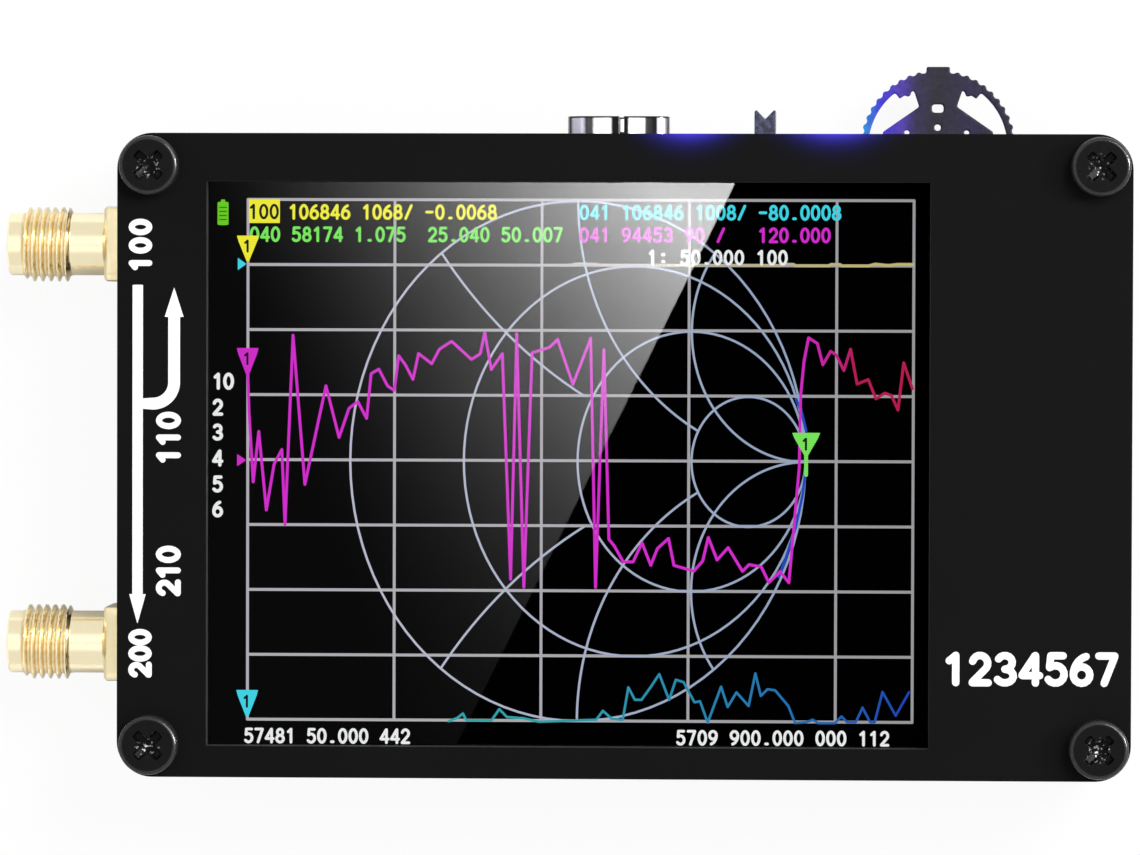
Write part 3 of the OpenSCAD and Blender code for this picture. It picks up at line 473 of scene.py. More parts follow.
def laminate(glow):
    """Matt black solder mask over layers of glass cloth, with a painted blue glow of the status lights on its
    top edge.
    """
    p = Paint("black laminate", roughness=0.6, specular_ior_level=0.03)
    grain, blotch = p.noise(0.09, 5), p.noise(5.0, 3)
    mask = p.mix(grain * 0.6 + blotch * 0.4, (0.0028, 0.0027, 0.0028), (0.0064, 0.0062, 0.0062))
    board = p.laid_up(mask, 0.2992, (0.02, 0.019, 0.018), (0.075, 0.073, 0.075))
    p.feed(base_color=board, roughness=grain * 0.2 + 0.5)
    if glow:
        # Painted glow: emission near the top edge stands in for the blue light of the status lights.
        below = (PANEL_HIGH[1] - p.y) * 2.0
        painted_glows = [(p.x - x) / wide for x, wide in LIGHTS]
        shine = sum((g * g + below).fade() for g in painted_glows)
        p.feed(emission_color=p.mix(shine, (0, 0, 0), (0.06, 0.045, 0.78)), emission_strength=1.0)
    return p.bumped(grain, 0.012, 0.5)


def ink():
    """White screen-printed ink with fine pits."""
    p = Paint("white ink", roughness=0.6, specular_ior_level=0.2)
    grain = p.noise(0.12, 4)
    return p.feed(base_color=p.mix(grain, (0.8, 0.8, 0.8), (0.96, 0.96, 0.95))).bumped(grain, 0.004)


def black_zinc(centres, radius, recess):
    """Oily black zinc, with a painted highlight round each head's rim and painted glints in its cross."""
    p = Paint("black zinc", roughness=0.3, specular_ior_level=0.08)
    grain = p.noise(0.2, 4)
    away = [p.distance(x, y) for x, y in centres]
    # Painted highlight: a brighter, more metallic ring at each head's rim, broken by noise.
    painted_rim_highlights = sum(r.over(radius - 0.32, 0.14) - r.over(radius + 0.1, 0.1) for r in away)
    rim = painted_rim_highlights * (p.noise(0.45, 3) * 0.8 + 0.3)
    # Painted glints: pale grey metallic specks inside each cross recess.
    painted_recess_glints = sum(1 - r.over(recess, 0.3) for r in away) * p.noise(0.28, 1).over(0.63, 0.06)
    painted_sheen_and_glints = p.mix(painted_recess_glints, p.mix(rim, (0.0035, 0.0035, 0.004), (0.06, 0.06, 0.06)), (0.3, 0.3, 0.3))
    p.feed(base_color=painted_sheen_and_glints, metallic=rim * 0.8 + painted_recess_glints * 0.5, roughness=grain * 0.2 + 0.16)
    return p.bumped(grain, 0.014)


def gold(axes=(), flange_x=None):
    """Gold plate over turned brass: fine tool marks, duller patches, and brown painted shade in the thread
    roots round given axes.

    Right of flange_x it is the duller plate of the milled flange and legs.
    """
    p = Paint("gold plate", metallic=1.0, specular_ior_level=0.5)
    marks = p.noise(0.05, 3, (1, 40, 40))
    plate = p.mix(p.noise(1.5, 3), (0.96, 0.83, 0.54), (0.97, 0.88, 0.62))
    for y, z in axes:
        apart = ((p.y - y) ** 2 + (p.z - z) ** 2) ** 0.5
        # Painted shade: the thread's roots are browned where its grooves would be shaded.
        painted_root_shade = (1 - apart.over(THREAD_MIDDLE, 0.35)) * apart.over(PLAIN_NECK, 0.02)
        plate = p.mix(painted_root_shade * 0.42, plate, (0.55, 0.32, 0.1))
    if flange_x is not None:
        milled = p.mix(p.noise(0.35, 3, (1, 8, 1)), (0.68, 0.56, 0.33), (0.83, 0.74, 0.48))
        plate = p.mix(p.x.over(flange_x, 0.02), plate, milled)
    return p.feed(base_color=plate, roughness=marks * 0.12 + 0.14).bumped(marks, 0.004, 0.6)


def metal(name, color, dull, grain_size, stretch=(1, 1, 1), roughness=0.3):
    """Plated or rolled metal: grain drawn out along the sheet and clouds of duller plating."""
    p = Paint(name, metallic=1.0)
    grain = p.noise(grain_size, 4, stretch)
    p.feed(base_color=p.mix(p.noise(2.0, 2), color, dull), roughness=grain * 0.2 + roughness)
    return p.bumped(grain, 0.006, 0.5)


def moulded(name, color, grain_size=0.12, roughness=0.5):
    """Moulded plastic: an even fine grain, slightly cloudy."""
    p = Paint(name)
    grain = p.cells(grain_size)
    pale = [min(1, c * 1.25 + 0.003) for c in color]
    p.feed(base_color=p.mix(p.noise(2.5, 2), color, pale), roughness=grain * 0.15 + roughness)
    return p.bumped(grain, 0.01, 0.4)


def lever_plastic():
    """Dark mottled plastic, with painted blue light at the left end of its rim, violet further in, standing
    in for the status light.
    """
    p = Paint("lever plastic", specular_ior_level=0.15)
    grain, cloud = p.cells(0.15), p.noise(0.5, 5)
    left, wide = PIVOT_X - 6.6, 13
    # Painted light: an emission ramp along x stands in for the blue status light falling on the lever.
    near = p.node("ShaderNodeValToRGB", {0: (p.x - left) / wide}, stops=(
        (0.0, (0.02, 0.5, 1.0)), (0.05, (0.02, 0.25, 1.0)), (0.13, (0.05, 0.03, 0.9)),
        (0.27, (0.09, 0.04, 0.5)), (0.36, (0.025, 0.016, 0.085)), (0.5, (0.008, 0.006, 0.014)),
        (0.7, (0.014, 0.008, 0.06)), (1.0, (0.012, 0.007, 0.03))))
    p.feed(base_color=p.mix(cloud, (0.006, 0.005, 0.008), (0.022, 0.02, 0.026)), roughness=grain * 0.2 + 0.4)
    p.feed(emission_color=p.mix(cloud * 0.7 + 0.35, (0, 0, 0), near), emission_strength=1.0)
    return p.bumped(grain * 0.4 + cloud * 0.6, 0.03, 0.6)


def knob_plastic():
    """Dark slate-blue plastic, paler and more violet in cloudy patches."""
    p = Paint("knob plastic", specular_ior_level=0.4)
    cloud = p.noise(0.5, 4)
    cloudy_tone = p.mix(cloud.over(0.5, 0.15), (0.012, 0.014, 0.035), (0.06, 0.06, 0.13))
    return p.feed(base_color=cloudy_tone, roughness=cloud * 0.2 + 0.35).bumped(cloud, 0.03, 0.6)


def rolled_steel(low_x, high_x, mouth_y):
    """Polished steel sheet with painted reflections in bands, dark and bright in turn, a bright one by its
    seam, and painted shade at its lip.
    """
    p = Paint("rolled steel", metallic=1.0)
    grain = p.noise(0.25, 4, (1, 10, 1))
    dark, dim, pale, white = (0.009,) * 3, (0.05,) * 3, (0.62, 0.6, 0.7), (0.95,) * 3
    # Painted reflections: dark and bright bands across the sheet's faces, from one side to the other.
    painted_reflection_bands = p.node("ShaderNodeValToRGB", {0: (p.x - low_x) / (high_x - low_x)}, stops=(
        (0.0, dark), (0.03, dark), (0.06, pale), (0.15, pale), (0.18, dim), (0.24, dim), (0.27, white),
        (0.41, white), (0.44, dark), (0.5, dark), (0.51, white), (0.543, white), (0.555, dark), (0.585, dark),
        (0.61, white), (0.745, white), (0.77, dim), (0.865, dark), (0.89, pale), (0.96, pale), (0.98, dark),
        (1.0, dark)))
    # Painted shade: the lip at the mouth is dark.
    painted_bands_and_lip_shade = p.mix(p.y.over(mouth_y - 0.15, 0.1), painted_reflection_bands, dark)
    flank = p.mix(grain, (0.45, 0.45, 0.46), (0.62, 0.62, 0.63))
    p.feed(base_color=p.mix(p.side(0.3, 0.3), painted_bands_and_lip_shade, flank), roughness=grain * 0.15 + 0.16)
    return p.bumped(grain, 0.004)


def lit_lens():
    """A light-emitting lens, white-hot in the middle and blue round it."""
    p = Paint("lit lens", (0.3, 0.35, 1.0), 0.3)
    heart = p.mix(p.noise(0.6, 1), (0.1, 0.12, 1.0), (0.3, 0.45, 1.0))
    return p.feed(emission_color=heart, emission_strength=3.0).material


def board_mask():
    """Dark solder mask over copper traces that show as faint raised lines."""
    p = Paint("board mask", roughness=0.35, specular_ior_level=0.4)
    values = {"Vector": p.place, "Scale": 1 / (1.1 * MM), "Mortar Size": 0.06, "Mortar Smooth": 0.3}
    traces = p.node("ShaderNodeTexBrick", values, "Fac", offset=0.37)
    mask = p.mix(traces, (0.004, 0.006, 0.005), (0.008, 0.014, 0.011))
    board = p.laid_up(mask, 0.3142, (0.03, 0.028, 0.015), (0.07, 0.06, 0.035))
    p.feed(base_color=board, roughness=p.noise(0.6) * 0.2 + 0.3)
    return p.bumped(traces, 0.02)


def dark_film(name, color, roughness, shine=0.1):
    """Smooth dark film or glass with faint waviness."""
    p = Paint(name, specular_ior_level=shine)
    wave = p.noise(9.0, 2)
    p.feed(base_color=p.mix(wave, color, [c * 1.4 for c in color]), roughness=wave * 0.04 + roughness)
    return p.material


def touch_glass(ior):
    """Clear glass: a reflection by Fresnel over what lies behind, from its top face alone.

    Its ground edges, and the border printed on its underside round the film, are dark.
    """
    p = Paint("touch glass")
    top = p.z.over(GLASS_TOP - 0.3, 0.1)
    clear = p.node("ShaderNodeBsdfTransparent", {"Color": (0.97, 0.98, 0.98, 1)})
    gloss = p.node("ShaderNodeBsdfGlossy", {"Roughness": p.noise(6.0) * 0.01})
    glass = p.blend(p.node("ShaderNodeFresnel", {"IOR": ior}) * top, clear, gloss)
    middle, half = (FILM_LOW + FILM_HIGH) / 2, (FILM_HIGH - FILM_LOW) / 2
    past = ((p.x - middle[0]).far() - half[0]).maths("MAXIMUM", (p.y - middle[1]).far() - half[1])
    border = past.over(0.12, 0.02) * (1 - top)
    p.feed(base_color=p.mix(p.noise(0.3, 4), (0.012, 0.02, 0.018), (0.03, 0.045, 0.04)))
    p.show(p.blend(p.side().maths("MAXIMUM", border), glass, p.plain))
    return p.material


def amber_film():
    """Polyimide film with rows of copper tracks under it."""
    p = Paint("amber film", roughness=0.25)
    tracks = (p.y * 12.5).maths("SINE").over(0.1, 0.4)
    amber = p.mix(tracks, (0.3, 0.11, 0.01), (0.62, 0.3, 0.07))
    return p.feed(base_color=amber, roughness=p.noise(1.0) * 0.2 + 0.15).bumped(tracks, 0.02)


def pouch_foil(low, high):
    """Crinkled aluminium laminate: folded seams along its sides, and amber tape over its terminal end."""
    p = Paint("pouch foil")
    crinkle, fold = p.noise(1.6, 5), p.cells(4.0, "SMOOTH_F1")
    seam = p.side(0.4, 0.3) * (1 - (p.z - low[2] - 0.42 * (high[2] - low[2])).far().over(0.12, 0.08))
    foil = p.mix(crinkle, (0.36, 0.37, 0.39), (0.56, 0.57, 0.6))
    tape = 1 - (p.x - low[0]).over(5.0, 0.05)
    amber = p.mix(crinkle, (0.42, 0.17, 0.015), (0.6, 0.3, 0.05))
    p.feed(base_color=p.mix(tape, p.mix(seam * 0.8, foil, (0.06, 0.06, 0.065)), amber))
    p.feed(metallic=0.9 - tape * 0.9, roughness=crinkle * 0.3 + 0.2)
    return p.bumped(crinkle * 0.6 + fold * 0.4, 0.12, 0.7)


def insulation(middle_y):
    """Lead insulation: red on one side of the pair and black on the other."""
    p = Paint("insulation", roughness=0.4)
    cloud = p.noise(0.8, 3)
    red = p.mix(cloud, (0.4, 0.01, 0.01), (0.6, 0.03, 0.02))
    black = p.mix(cloud, (0.008, 0.008, 0.008), (0.02, 0.02, 0.02))
    pair = p.mix(p.y.over(middle_y, 0.05), black, red)
    return p.feed(base_color=pair, roughness=cloud * 0.2 + 0.35).material


def foam():
    """Open-cell foam tape."""
    p = Paint("foam", roughness=0.9, specular_ior_level=0.2)
    pores = p.cells(0.18)
    return p.feed(base_color=p.mix(pores, (0.006, 0.006, 0.006), (0.035, 0.035, 0.035))).bumped(pores, 0.06)


def clear_plastic():
    """Clear acrylic with frosted dots on its rear."""
    p = Paint("clear acrylic", roughness=0.15, alpha=0.6)
    dots = p.cells(0.7)
    frost = p.mix(dots, (0.85, 0.88, 0.9), (0.7, 0.73, 0.75))
    return p.feed(base_color=frost, roughness=dots * 0.3 + 0.1).material


def light_ink(name, color, far=None, between=(0, 1)):
    """Lit picture elements, darker between their rows; the colour may turn to far from one x to another."""
    p = Paint(name, (0, 0, 0), 0.8, specular_ior_level=0.0)
    if far:
        color = p.mix(((p.x - between[0]) / (between[1] - between[0])).over(0.5, 1.0), color, far)
    else:
        color = p.mix(p.noise(3.0) * 0.3, color, [c * 0.8 for c in color])
    rows = (p.y * (2 * math.pi / PIXEL[1])).wave()
    return p.feed(emission_color=p.mix(rows * 0.12, color, (0, 0, 0)), emission_strength=1.0).material


# ------------------------------------------------------------------ pieces

def on_screen(points):
    """Turns picture elements, counted right and down from the screen's top left corner, into millimetres."""
    return np.asarray(points, float) * [PIXEL[0], -PIXEL[1]] + [SCREEN_LEFT, SCREEN_TOP]


def dress(paint, *nodes):
    """Gives frame nodes a finish."""
    for node in nodes:
        for slot in NODES[node].material_slots:
            slot.material = paint


def length(name, description, millimetres):
    """A size that the sidebar shows as a length."""
    return bpy.props.FloatProperty(
        name=name, description=description, default=millimetres * MM, min=0, unit="LENGTH", precision=5)


def tint(name, description, color):
    """A colour that the sidebar shows as a swatch."""
    return bpy.props.FloatVectorProperty(
        name=name, description=description, default=color, min=0, max=1, size=3, subtype="COLOR")


def mm(owner, *names):
    """Named lengths of a property group or operator, in millimetres."""
    return [getattr(owner, name) / MM for name in names]


class PortSizes(bpy.types.PropertyGroup):
    """Sizes of the two coaxial ports."""
    pitch: length("Thread pitch", "Distance between thread crests, 36 to the inch", 0.7056)
    turns: bpy.props.IntProperty(name="Thread turns", description="Number of crests", default=6, min=3)
    depth: length("Thread depth", "Depth of the thread", 0.45)
    major: length("Thread radius", "Radius over the crests", 3.175)
    neck: length("Neck radius", "Radius of the plain neck and tip", 2.65)
    neck_length: length("Neck length", "Length of the plain neck", 3.0)
    flange: length("Flange side", "Side of the square flange", 6.35)
    flange_depth: length("Flange thickness", "Thickness of the square flange", 1.8)
    mouth: length("Mouth radius", "Radius of the open mouth", 2.3)
    mouth_depth: length("Mouth depth", "Depth of the mouth down to the dielectric", 1.95)
    bore: length("Bore radius", "Radius of the bore round the dielectric", 2.05)
    leg: length("Leg length", "Length of the legs that clamp the board", 4.2)
    leg_width: length("Leg width", "Width of a leg along the board's edge", 1.0)
    leg_height: length("Leg height", "Height of a leg over the board", 1.1)


class ScreenColors(bpy.types.PropertyGroup):
    """Colours of the readout."""
    grid: tint("Grid", "Lines of the grid", (0.5, 0.47, 0.51))
    grid_far: tint("Grid at the right", "Lines of the grid at their right end", (0.36, 0.355, 0.37))
    gold: tint("First trace", "Right end of the first trace", (0.6, 0.5, 0.17))
    chart: tint("Chart", "Circles and arcs of the chart", (0.56, 0.56, 0.68))
    chart_far: tint("Chart at the hub", "Circles and arcs of the chart near the hub", (0.33, 0.42, 0.59))
    yellow: tint("First channel", "Flag and numbers of the first trace", (1.0, 0.94, 0.04))
    cyan: tint("Second numbers", "Numbers of the second trace", (0.06, 0.74, 0.88))
    teal: tint("Second trace", "Near end of the second trace", (0.035, 0.4, 0.44))
    blue: tint("Third trace", "Third trace and the far end of the second", (0.02, 0.08, 0.6))
    green: tint("Third numbers", "Numbers and marker of the third trace", (0.22, 0.88, 0.12))
    magenta: tint("Fourth trace", "Fourth trace and its numbers", (0.72, 0.03, 0.66))
    crimson: tint("Far end", "Far end of the fourth trace", (0.5, 0.015, 0.085))
    white: tint("Settings", "Numbers of the settings", (0.95, 0.95, 0.95))
    charge: tint("Charge", "Sign of the battery's charge", (0.16, 0.66, 0.02))


class ScreenSizes(bpy.types.PropertyGroup):
    """Line widths of the readout and the printing."""
    line: length("Grid line", "Width of a grid line", 0.24)
    trace: length("Trace", "Width of a trace", 0.235)
    stroke: length("Number stroke", "Width of the strokes of the screen's numbers", 0.235)
    label: length("Label stroke", "Width of the strokes of the printed labels", 0.5)
    bold: length("Bold stroke", "Width of the strokes of the bold printed number", 0.62)
    ink: length("Ink", "Thickness of the printed ink", 0.02)


class AnalyzerOperator:
    """What the operators share."""
    bl_options = {"REGISTER", "UNDO"}


class ANALYZER_OT_panels(AnalyzerOperator, bpy.types.Operator):
    """Finish the two laminate panels of the case"""
    bl_idname = "analyzer.panels"
    bl_label = "Panels"

    def execute(self, context):
        dress(laminate(True), "front_panel")
        dress(laminate(False), "back_panel")
        return {"FINISHED"}


class ANALYZER_OT_screws(AnalyzerOperator, bpy.types.Operator):
    """Make the screws with their cross recesses, and finish the posts"""
    bl_idname = "analyzer.screws"
    bl_label = "Screws and posts"
    radius: length("Head radius", "Radius of a screw head", 2.5)
    head_height: length("Head height", "Height of a screw head", 1.5)
    rounding: length("Head rounding", "Radius of the head's rim", 0.38)
    shank: length("Shank radius", "Radius of the threaded shank", 1.25)
    slot: length("Slot half width", "Half the width of a slot of the recess", 0.36)
    reach: length("Slot reach", "How far a slot reaches from the axis", 1.45)
    recess: length("Recess depth", "Depth of the recess at the axis", 1.05)

    def screw(self, under):
        """Rows run from the top's middle over the rim, down the side, under the head and round the shank.

        On top, height falls where a point is inside either slot of the cross, more so near the axis.
        """
        radius, head, rim, shank = mm(self, "radius", "head_height", "rounding", "shank")
        slot, reach, recess = mm(self, "slot", "reach", "recess")
        widest, taper, side_blur, end_blur, climb = 1.15, 0.3, 0.08, 0.1, 0.5
        turn = np.linspace(0, 2 * np.pi, AROUND + 1)[None]
        flat = np.linspace(0, radius - rim, 40)[:, None]
        edge = np.linspace(0, np.pi / 2, 7)[1:, None]
        r = np.concatenate([flat, radius - rim + rim * np.sin(edge)])
        z = np.concatenate([flat * 0 + head, head - rim + rim * np.cos(edge)])
        u, v = np.abs(r * np.cos(turn - np.pi / 4)), np.abs(r * np.sin(turn - np.pi / 4))
        inside = [np.clip((slot * (widest - taper * b / reach) - a) / side_blur + 0.5, 0, 1)
                  * np.clip((reach - b) / end_blur, 0, 1) for a, b in ((u, v), (v, u))]
        z = z - np.maximum(*inside) * (recess - climb * r / reach)
        lower = np.array([[radius, 0], [shank, 0], [shank, -under], [0, -under]])
        r = np.concatenate([r + 0 * turn, lower[:, :1] + 0 * turn])
        z = np.concatenate([z + 0 * turn, lower[:, 1:] + 0 * turn])
        return np.stack([r * np.cos(turn), r * np.sin(turn), z], axis=-1)

    def execute(self, context):
        radius, head = mm(self, "radius", "head_height")
        for node, side in (("front_screws", 1), ("rear_screws", -1)):
            low, high = corners(node)
            centres = [(x, y) for x in (low[0] + radius, high[0] - radius)
                       for y in (low[1] + radius, high[1] - radius)]
            shape = self.screw(high[2] - low[2] - head) * [1, 1, side]
            seat = high[2] - head if side > 0 else low[2] + head
            grids = [np.stack([shape + [x, y, seat] for x, y in centres])]
            paint = black_zinc(centres, radius, 1.0)
            name = node + "_heads"
            finish_piece(name, mesh_of(name, grids), paint, replaces=(node,))
        brass = metal("dull brass", (0.62, 0.45, 0.2), (0.5, 0.36, 0.16), 0.3, (1, 1, 8))
        dress(brass, "front_standoffs", "rear_standoffs")
        return {"FINISHED"}


class ANALYZER_OT_ports(AnalyzerOperator, bpy.types.Operator):
    """Turn the two coaxial ports, with their threads, flanges and legs"""
    bl_idname = "analyzer.ports"
    bl_label = "Coaxial ports"

    def body(self, s):
        """Radius against distance out of the board's edge, with x = 0 there and the mouth at the far end.

        The flange's radius is that of a square with hardly rounded corners. In the thread the radius drops
        from the crest by a groove whose phase is distance / pitch - angle / one turn: a right-handed helix.
        """
        pitch, depth, major, neck = mm(s, "pitch", "depth", "major", "neck")
        front, side, mouth, bore = mm(s, "flange_depth", "flange", "mouth", "bore")
        start = front + s.neck_length / MM
        end = start + s.turns * pitch
        tip = corners("main_board")[0][0] - corners("port_1_body")[0][0]
        deep = tip - s.mouth_depth / MM
        corner, fillet, chamfer, small, power = 0.22, 0.2, 0.15, 0.06, 24
        lead, crest, flank, steps = 0.3, 0.09, 0.27, 20       # shares of the pitch, and rows in one pitch
        run_in, run_out = 3, 1.5                              # how fast the thread grows and fades, per pitch
        angle = np.linspace(0, 2 * np.pi, AROUND + 1)[None]
        square = side / 2 * (np.abs(np.cos(angle)) ** power + np.abs(np.sin(angle)) ** power) ** (-1 / power)
        rows = [(0, 0 * angle), (0, square), (front - corner, square), (front, square - corner),
                (front, neck + fillet), (front + fillet, neck)]
        thread = np.linspace(start - lead * pitch, end + lead * pitch, (s.turns + 1) * steps)[:, None]
        phase = thread / pitch - angle / (2 * np.pi)
        groove = np.clip((np.abs(phase - np.round(phase)) - crest) / flank, 0, 1)
        grown = np.clip((thread - start) / pitch * run_in, 0, 1)
        fade = grown * np.clip((end - thread) / pitch * run_out, 0, 1)
        rows += zip(thread[:, 0], neck + (major - neck - depth * groove) * fade)
        rows += [(tip - chamfer, neck), (tip, neck - chamfer), (tip, mouth + small), (tip - small, mouth),
                 (deep, mouth), (deep, bore), (deep - 1, bore), (deep - 1, 0)]
        along = np.array([x for x, _ in rows])[:, None] + 0 * angle
        radius = np.stack([np.broadcast_to(r, angle.shape)[0] for _, r in rows])
        return np.stack([-along, radius * np.cos(angle), radius * np.sin(angle)], axis=-1)

    def execute(self, context):
        s = context.scene.analyzer_ports
        side, leg, wide, high, front = mm(s, "flange", "leg", "leg_width", "leg_height", "flange_depth")
        sunk, rounding = 0.2, 0.12       # overlap of the legs with the flange, and radius of their edges
        board_low, board_high = corners("main_board")
        board = board_high[2] - board_low[2]
        middles = {port: sum(corners(port + "_body")) / 2 for port in ("port_1", "port_2")}
        paint = gold([middle[1:] for middle in middles.values()], board_low[0] - front - 0.02)
        for port, middle in middles.items():
            place = np.array([board_low[0], middle[1], middle[2]])
            legs = [place + [leg / 2, a * (side - wide) / 2, b * (board + high) / 2]
                    for a in (-1, 1) for b in (-1, 1)]
            grids = [self.body(s) + place, boxes(legs, (leg + sunk, wide, high), rounding)]
            mesh = mesh_of(port + "_shell", grids)
            finish_piece(mesh.name, mesh, paint, replaces=(port + "_body",), sharp=30)
            dress(paint, port + "_contact")
        dress(moulded("fluoropolymer", (0.8, 0.8, 0.76), 0.3, 0.35), "port_1_dielectric", "port_2_dielectric")
        return {"FINISHED"}


class ANALYZER_OT_display(AnalyzerOperator, bpy.types.Operator):
    """Finish the display module from its tray to its touch glass"""
    bl_idname = "analyzer.display"
    bl_label = "Display"
    gasket_width: length("Gasket width", "Width of the foam ring between touch glass and front panel", 1.2)
    gasket_room: length("Gasket room", "From the window's edge to the foam ring", 0.35)

    def gasket(self, paint):
        """A foam ring in the gap over the touch glass, with a little slack, just outside the window."""
        width, room = mm(self, "gasket_width", "gasket_room")
        outset, slack = room + width / 2, 0.05
        (left, low), (right, high) = FILM_LOW[:2] - outset, FILM_HIGH[:2] + outset
        path = [(left, low), (right, low), (right, high), (left, high), (left, low)]
        gap = PANEL_LOW[2] - GLASS_TOP
        ring = stroke(path, width, GLASS_TOP + slack * gap, (1 - 2 * slack) * gap)
        return finish_piece("glass_gasket", mesh_of("glass_gasket", [ring]), paint)

    def execute(self, context):
        black_foam = foam()
        self.gasket(black_foam)
        dress(touch_glass(1.45), "touch_panel")
        dress(dark_film("display glass", (0.0015, 0.0015, 0.002), 0.05), "display_cell")
        dress(dark_film("polariser", (0.0005, 0.0005, 0.0007), 0.4, 0.0), "polariser")
        dress(black_foam, "touch_adhesive", "battery_tape")
        dress(moulded("white tray", (0.62, 0.62, 0.6)), "display_tray")
        dress(clear_plastic(), "light_guide")
        dress(amber_film(), "display_flex", "touch_flex")
        dress(moulded("white tape", (0.7, 0.7, 0.68), 0.3), "display_tape")
        return {"FINISHED"}


class ANALYZER_OT_readout(AnalyzerOperator, bpy.types.Operator):
    """Draw the grid, traces, markers and plain numbers that the screen shows"""
    bl_idname = "analyzer.readout"
    bl_label = "Readout"

    def show(self, name, strokes, color, far=None, between=(0, 1)):
        """One piece of lit marks; their colour may turn to far between two picture elements."""
        span = [SCREEN_LEFT + x * PIXEL[0] for x in between]
        paint = light_ink(name.replace("_", " ") + " light", tuple(color), far and tuple(far), span)
        return finish_piece(name, mesh_of(name, strokes), paint)

    def line(self, points, width, level, cap=None, rise=0.0):
        """A stroke through picture elements, on a named level."""
        return stroke(on_screen(points), width, FILM_TOP + LEVELS[level] + rise, THIN, cap)

    def row(self, text, x, bottom, level, width, pitch=4.75, height=5.8, wide=0.88):
        """A plain number whose first digit starts at x and stands on bottom, in picture elements."""
        place, above = on_screen((x + 0.5, bottom - 0.6)), FILM_TOP + LEVELS[level]
        return number(text, *place, height * PIXEL[1], pitch * PIXEL[0], width, above, THIN, wide=wide)

    def flag(self, x, top, tip, across):
        """A flag that points down at (x, tip): full width, then narrowing to a point."""
        widths = np.array([1, 0.86, 0.12]) * across * PIXEL[0]
        return self.line([(x, top), (x, top + 0.22 * (tip - top)), (x, tip)], widths, "flag", 0.01)

    def arrow(self, x, y):
        """A small arrow that points right at the grid's left edge."""
        return self.line([(x, y), (13.9, y)], np.array([5.4, 0.6]) * PIXEL[1], "block", 0.01)

    def chart(self, width):
        """Circles that meet at the hub, and arcs through it; each arc ends on the circle that stops it."""
        hub_x, hub_y, wide, high, steps, every = 267.8, 116.3, 103.1, 115.8, 360, 3
        circles = [arc(hub_x - wide * share, hub_y, wide * share, high * share, 0, 360, AROUND)
                   for share in (1, 0.75, 0.5, 0.25)]
        for reach, stop in ((2.0, 0.5), (1.0, 0.25), (0.5, 0.0)):
            angle = np.radians(np.linspace(-180, 0, steps + 1))
            across, rise = reach * np.sin(angle), reach * (1 - np.cos(angle))
            kept = ((across + 1) ** 2 + rise ** 2 < 1) & ((across + stop) ** 2 + rise ** 2 > stop ** 2)
            for side in (-1, 1):
                points = np.stack([hub_x + wide * across, hub_y + side * high * rise], axis=-1)
                circles.append(points[kept][::every])
        return [self.line(points, width, "chart", rise=APART * (k % 3)) for k, points in enumerate(circles)]

    def grid(self, width):
        """Upright and level lines; the last column is narrower."""
        left, right, bottom, step, column = 15, 316.4, 232, 29, 66.67
        upright = [[(x, 0), (x, bottom)] for x in (*np.arange(left, right, column), right)]
        level = [[(left, y), (right, y)] for y in range(0, bottom + 1, step)]
        return [self.line(ends, width, "grid", rise=rise) for lines, rise in ((upright, 0), (level, APART))
                for ends in lines]

    def marks(self, pen, colors):
        """The flag, arrow or block and numbers of each trace."""
        block = self.line([(15.4, 5.2), (29.4, 5.2)], 10.6 * PIXEL[1], "block", 0.01)
        stem = self.line([(268.1, 112), (268.1, 122)], 1.7 * PIXEL[0], "stem")
        for name, color, flag, extra, text, x, bottom in (
                ("first_marks", colors.yellow, (14.9, 16.2, 27.4, 9.9), block,
                 "106846 1068/ -0.0068", 33.5, 9),
                ("second_marks", colors.cyan, (14.9, 219, 230.8, 9.9), self.arrow(10.4, 28.8),
                 "041 106846 1008/ -80.0008", 165.4, 9),
                ("third_marks", colors.green, (268.1, 103.3, 113.5, 12.6), stem,
                 "040 58174 1.075  25.040 50.007", 15.9, 19),
                ("fourth_marks", colors.magenta, (14.9, 66.3, 78.2, 9.9), self.arrow(10.2, 116.3),
                 "041 94453 90 /   120.000", 165.4, 19)):
            self.show(name, [self.flag(*flag), extra, *self.row(text, x, bottom, "row", pen)], color)

    def settings(self, pen, colors):
        """The white numbers, the battery's sign and the unlit numbers on flags and block."""
        rows = [self.row("1: 50.000 100", 196.2, 29, "top_row", pen, 4.92),
                self.row("57481 50.000 442", 13.6, 242.8, "block", pen),
                self.row("5709 900.000 000 112", 209.8, 242.8, "block", pen, 4.85)]
        for text, bottom in zip(("10", *"23456"), (84.8, 96.4, 107.5, 119.1, 130.7, 141.8)):
            rows.append(self.row(text, -0.9, bottom, "block", pen * 1.2, 4.9, 6.2, 0.92))
        self.show("settings", sum(rows, []), colors.white)
        self.show("charge_sign", [self.line([(3.6, 1.4), (3.6, 11.2)], 5.0 * PIXEL[0], "block", 0.06),
                                  self.line([(2.7, 0.7), (4.5, 0.7)], pen, "cap", 0.01)], colors.charge)
        bars = [self.line([(1.9, y), (5.3, y)], 0.1, "bar", 0.01) for y in (3.6, 5.4, 7.2, 9.0)]
        self.show("charge_bars", bars, [0.3 * v for v in colors.charge])
        unlit = [self.row("1", x, bottom, "on_flag", pen * 0.8, 4.75, 4.8, 0.9)
                 for x, bottom in ((12.8, 23.8), (12.8, 74), (12.8, 227), (266.0, 111.3))]
        unlit.append(self.row("100", 15.3, 8.9, "on_block", pen * 0.9))
        mesh = mesh_of("marker_numbers", sum(unlit, []))
        finish_piece(mesh.name, mesh, dark_film("unlit", (0.002, 0.002, 0.002), 0.5))

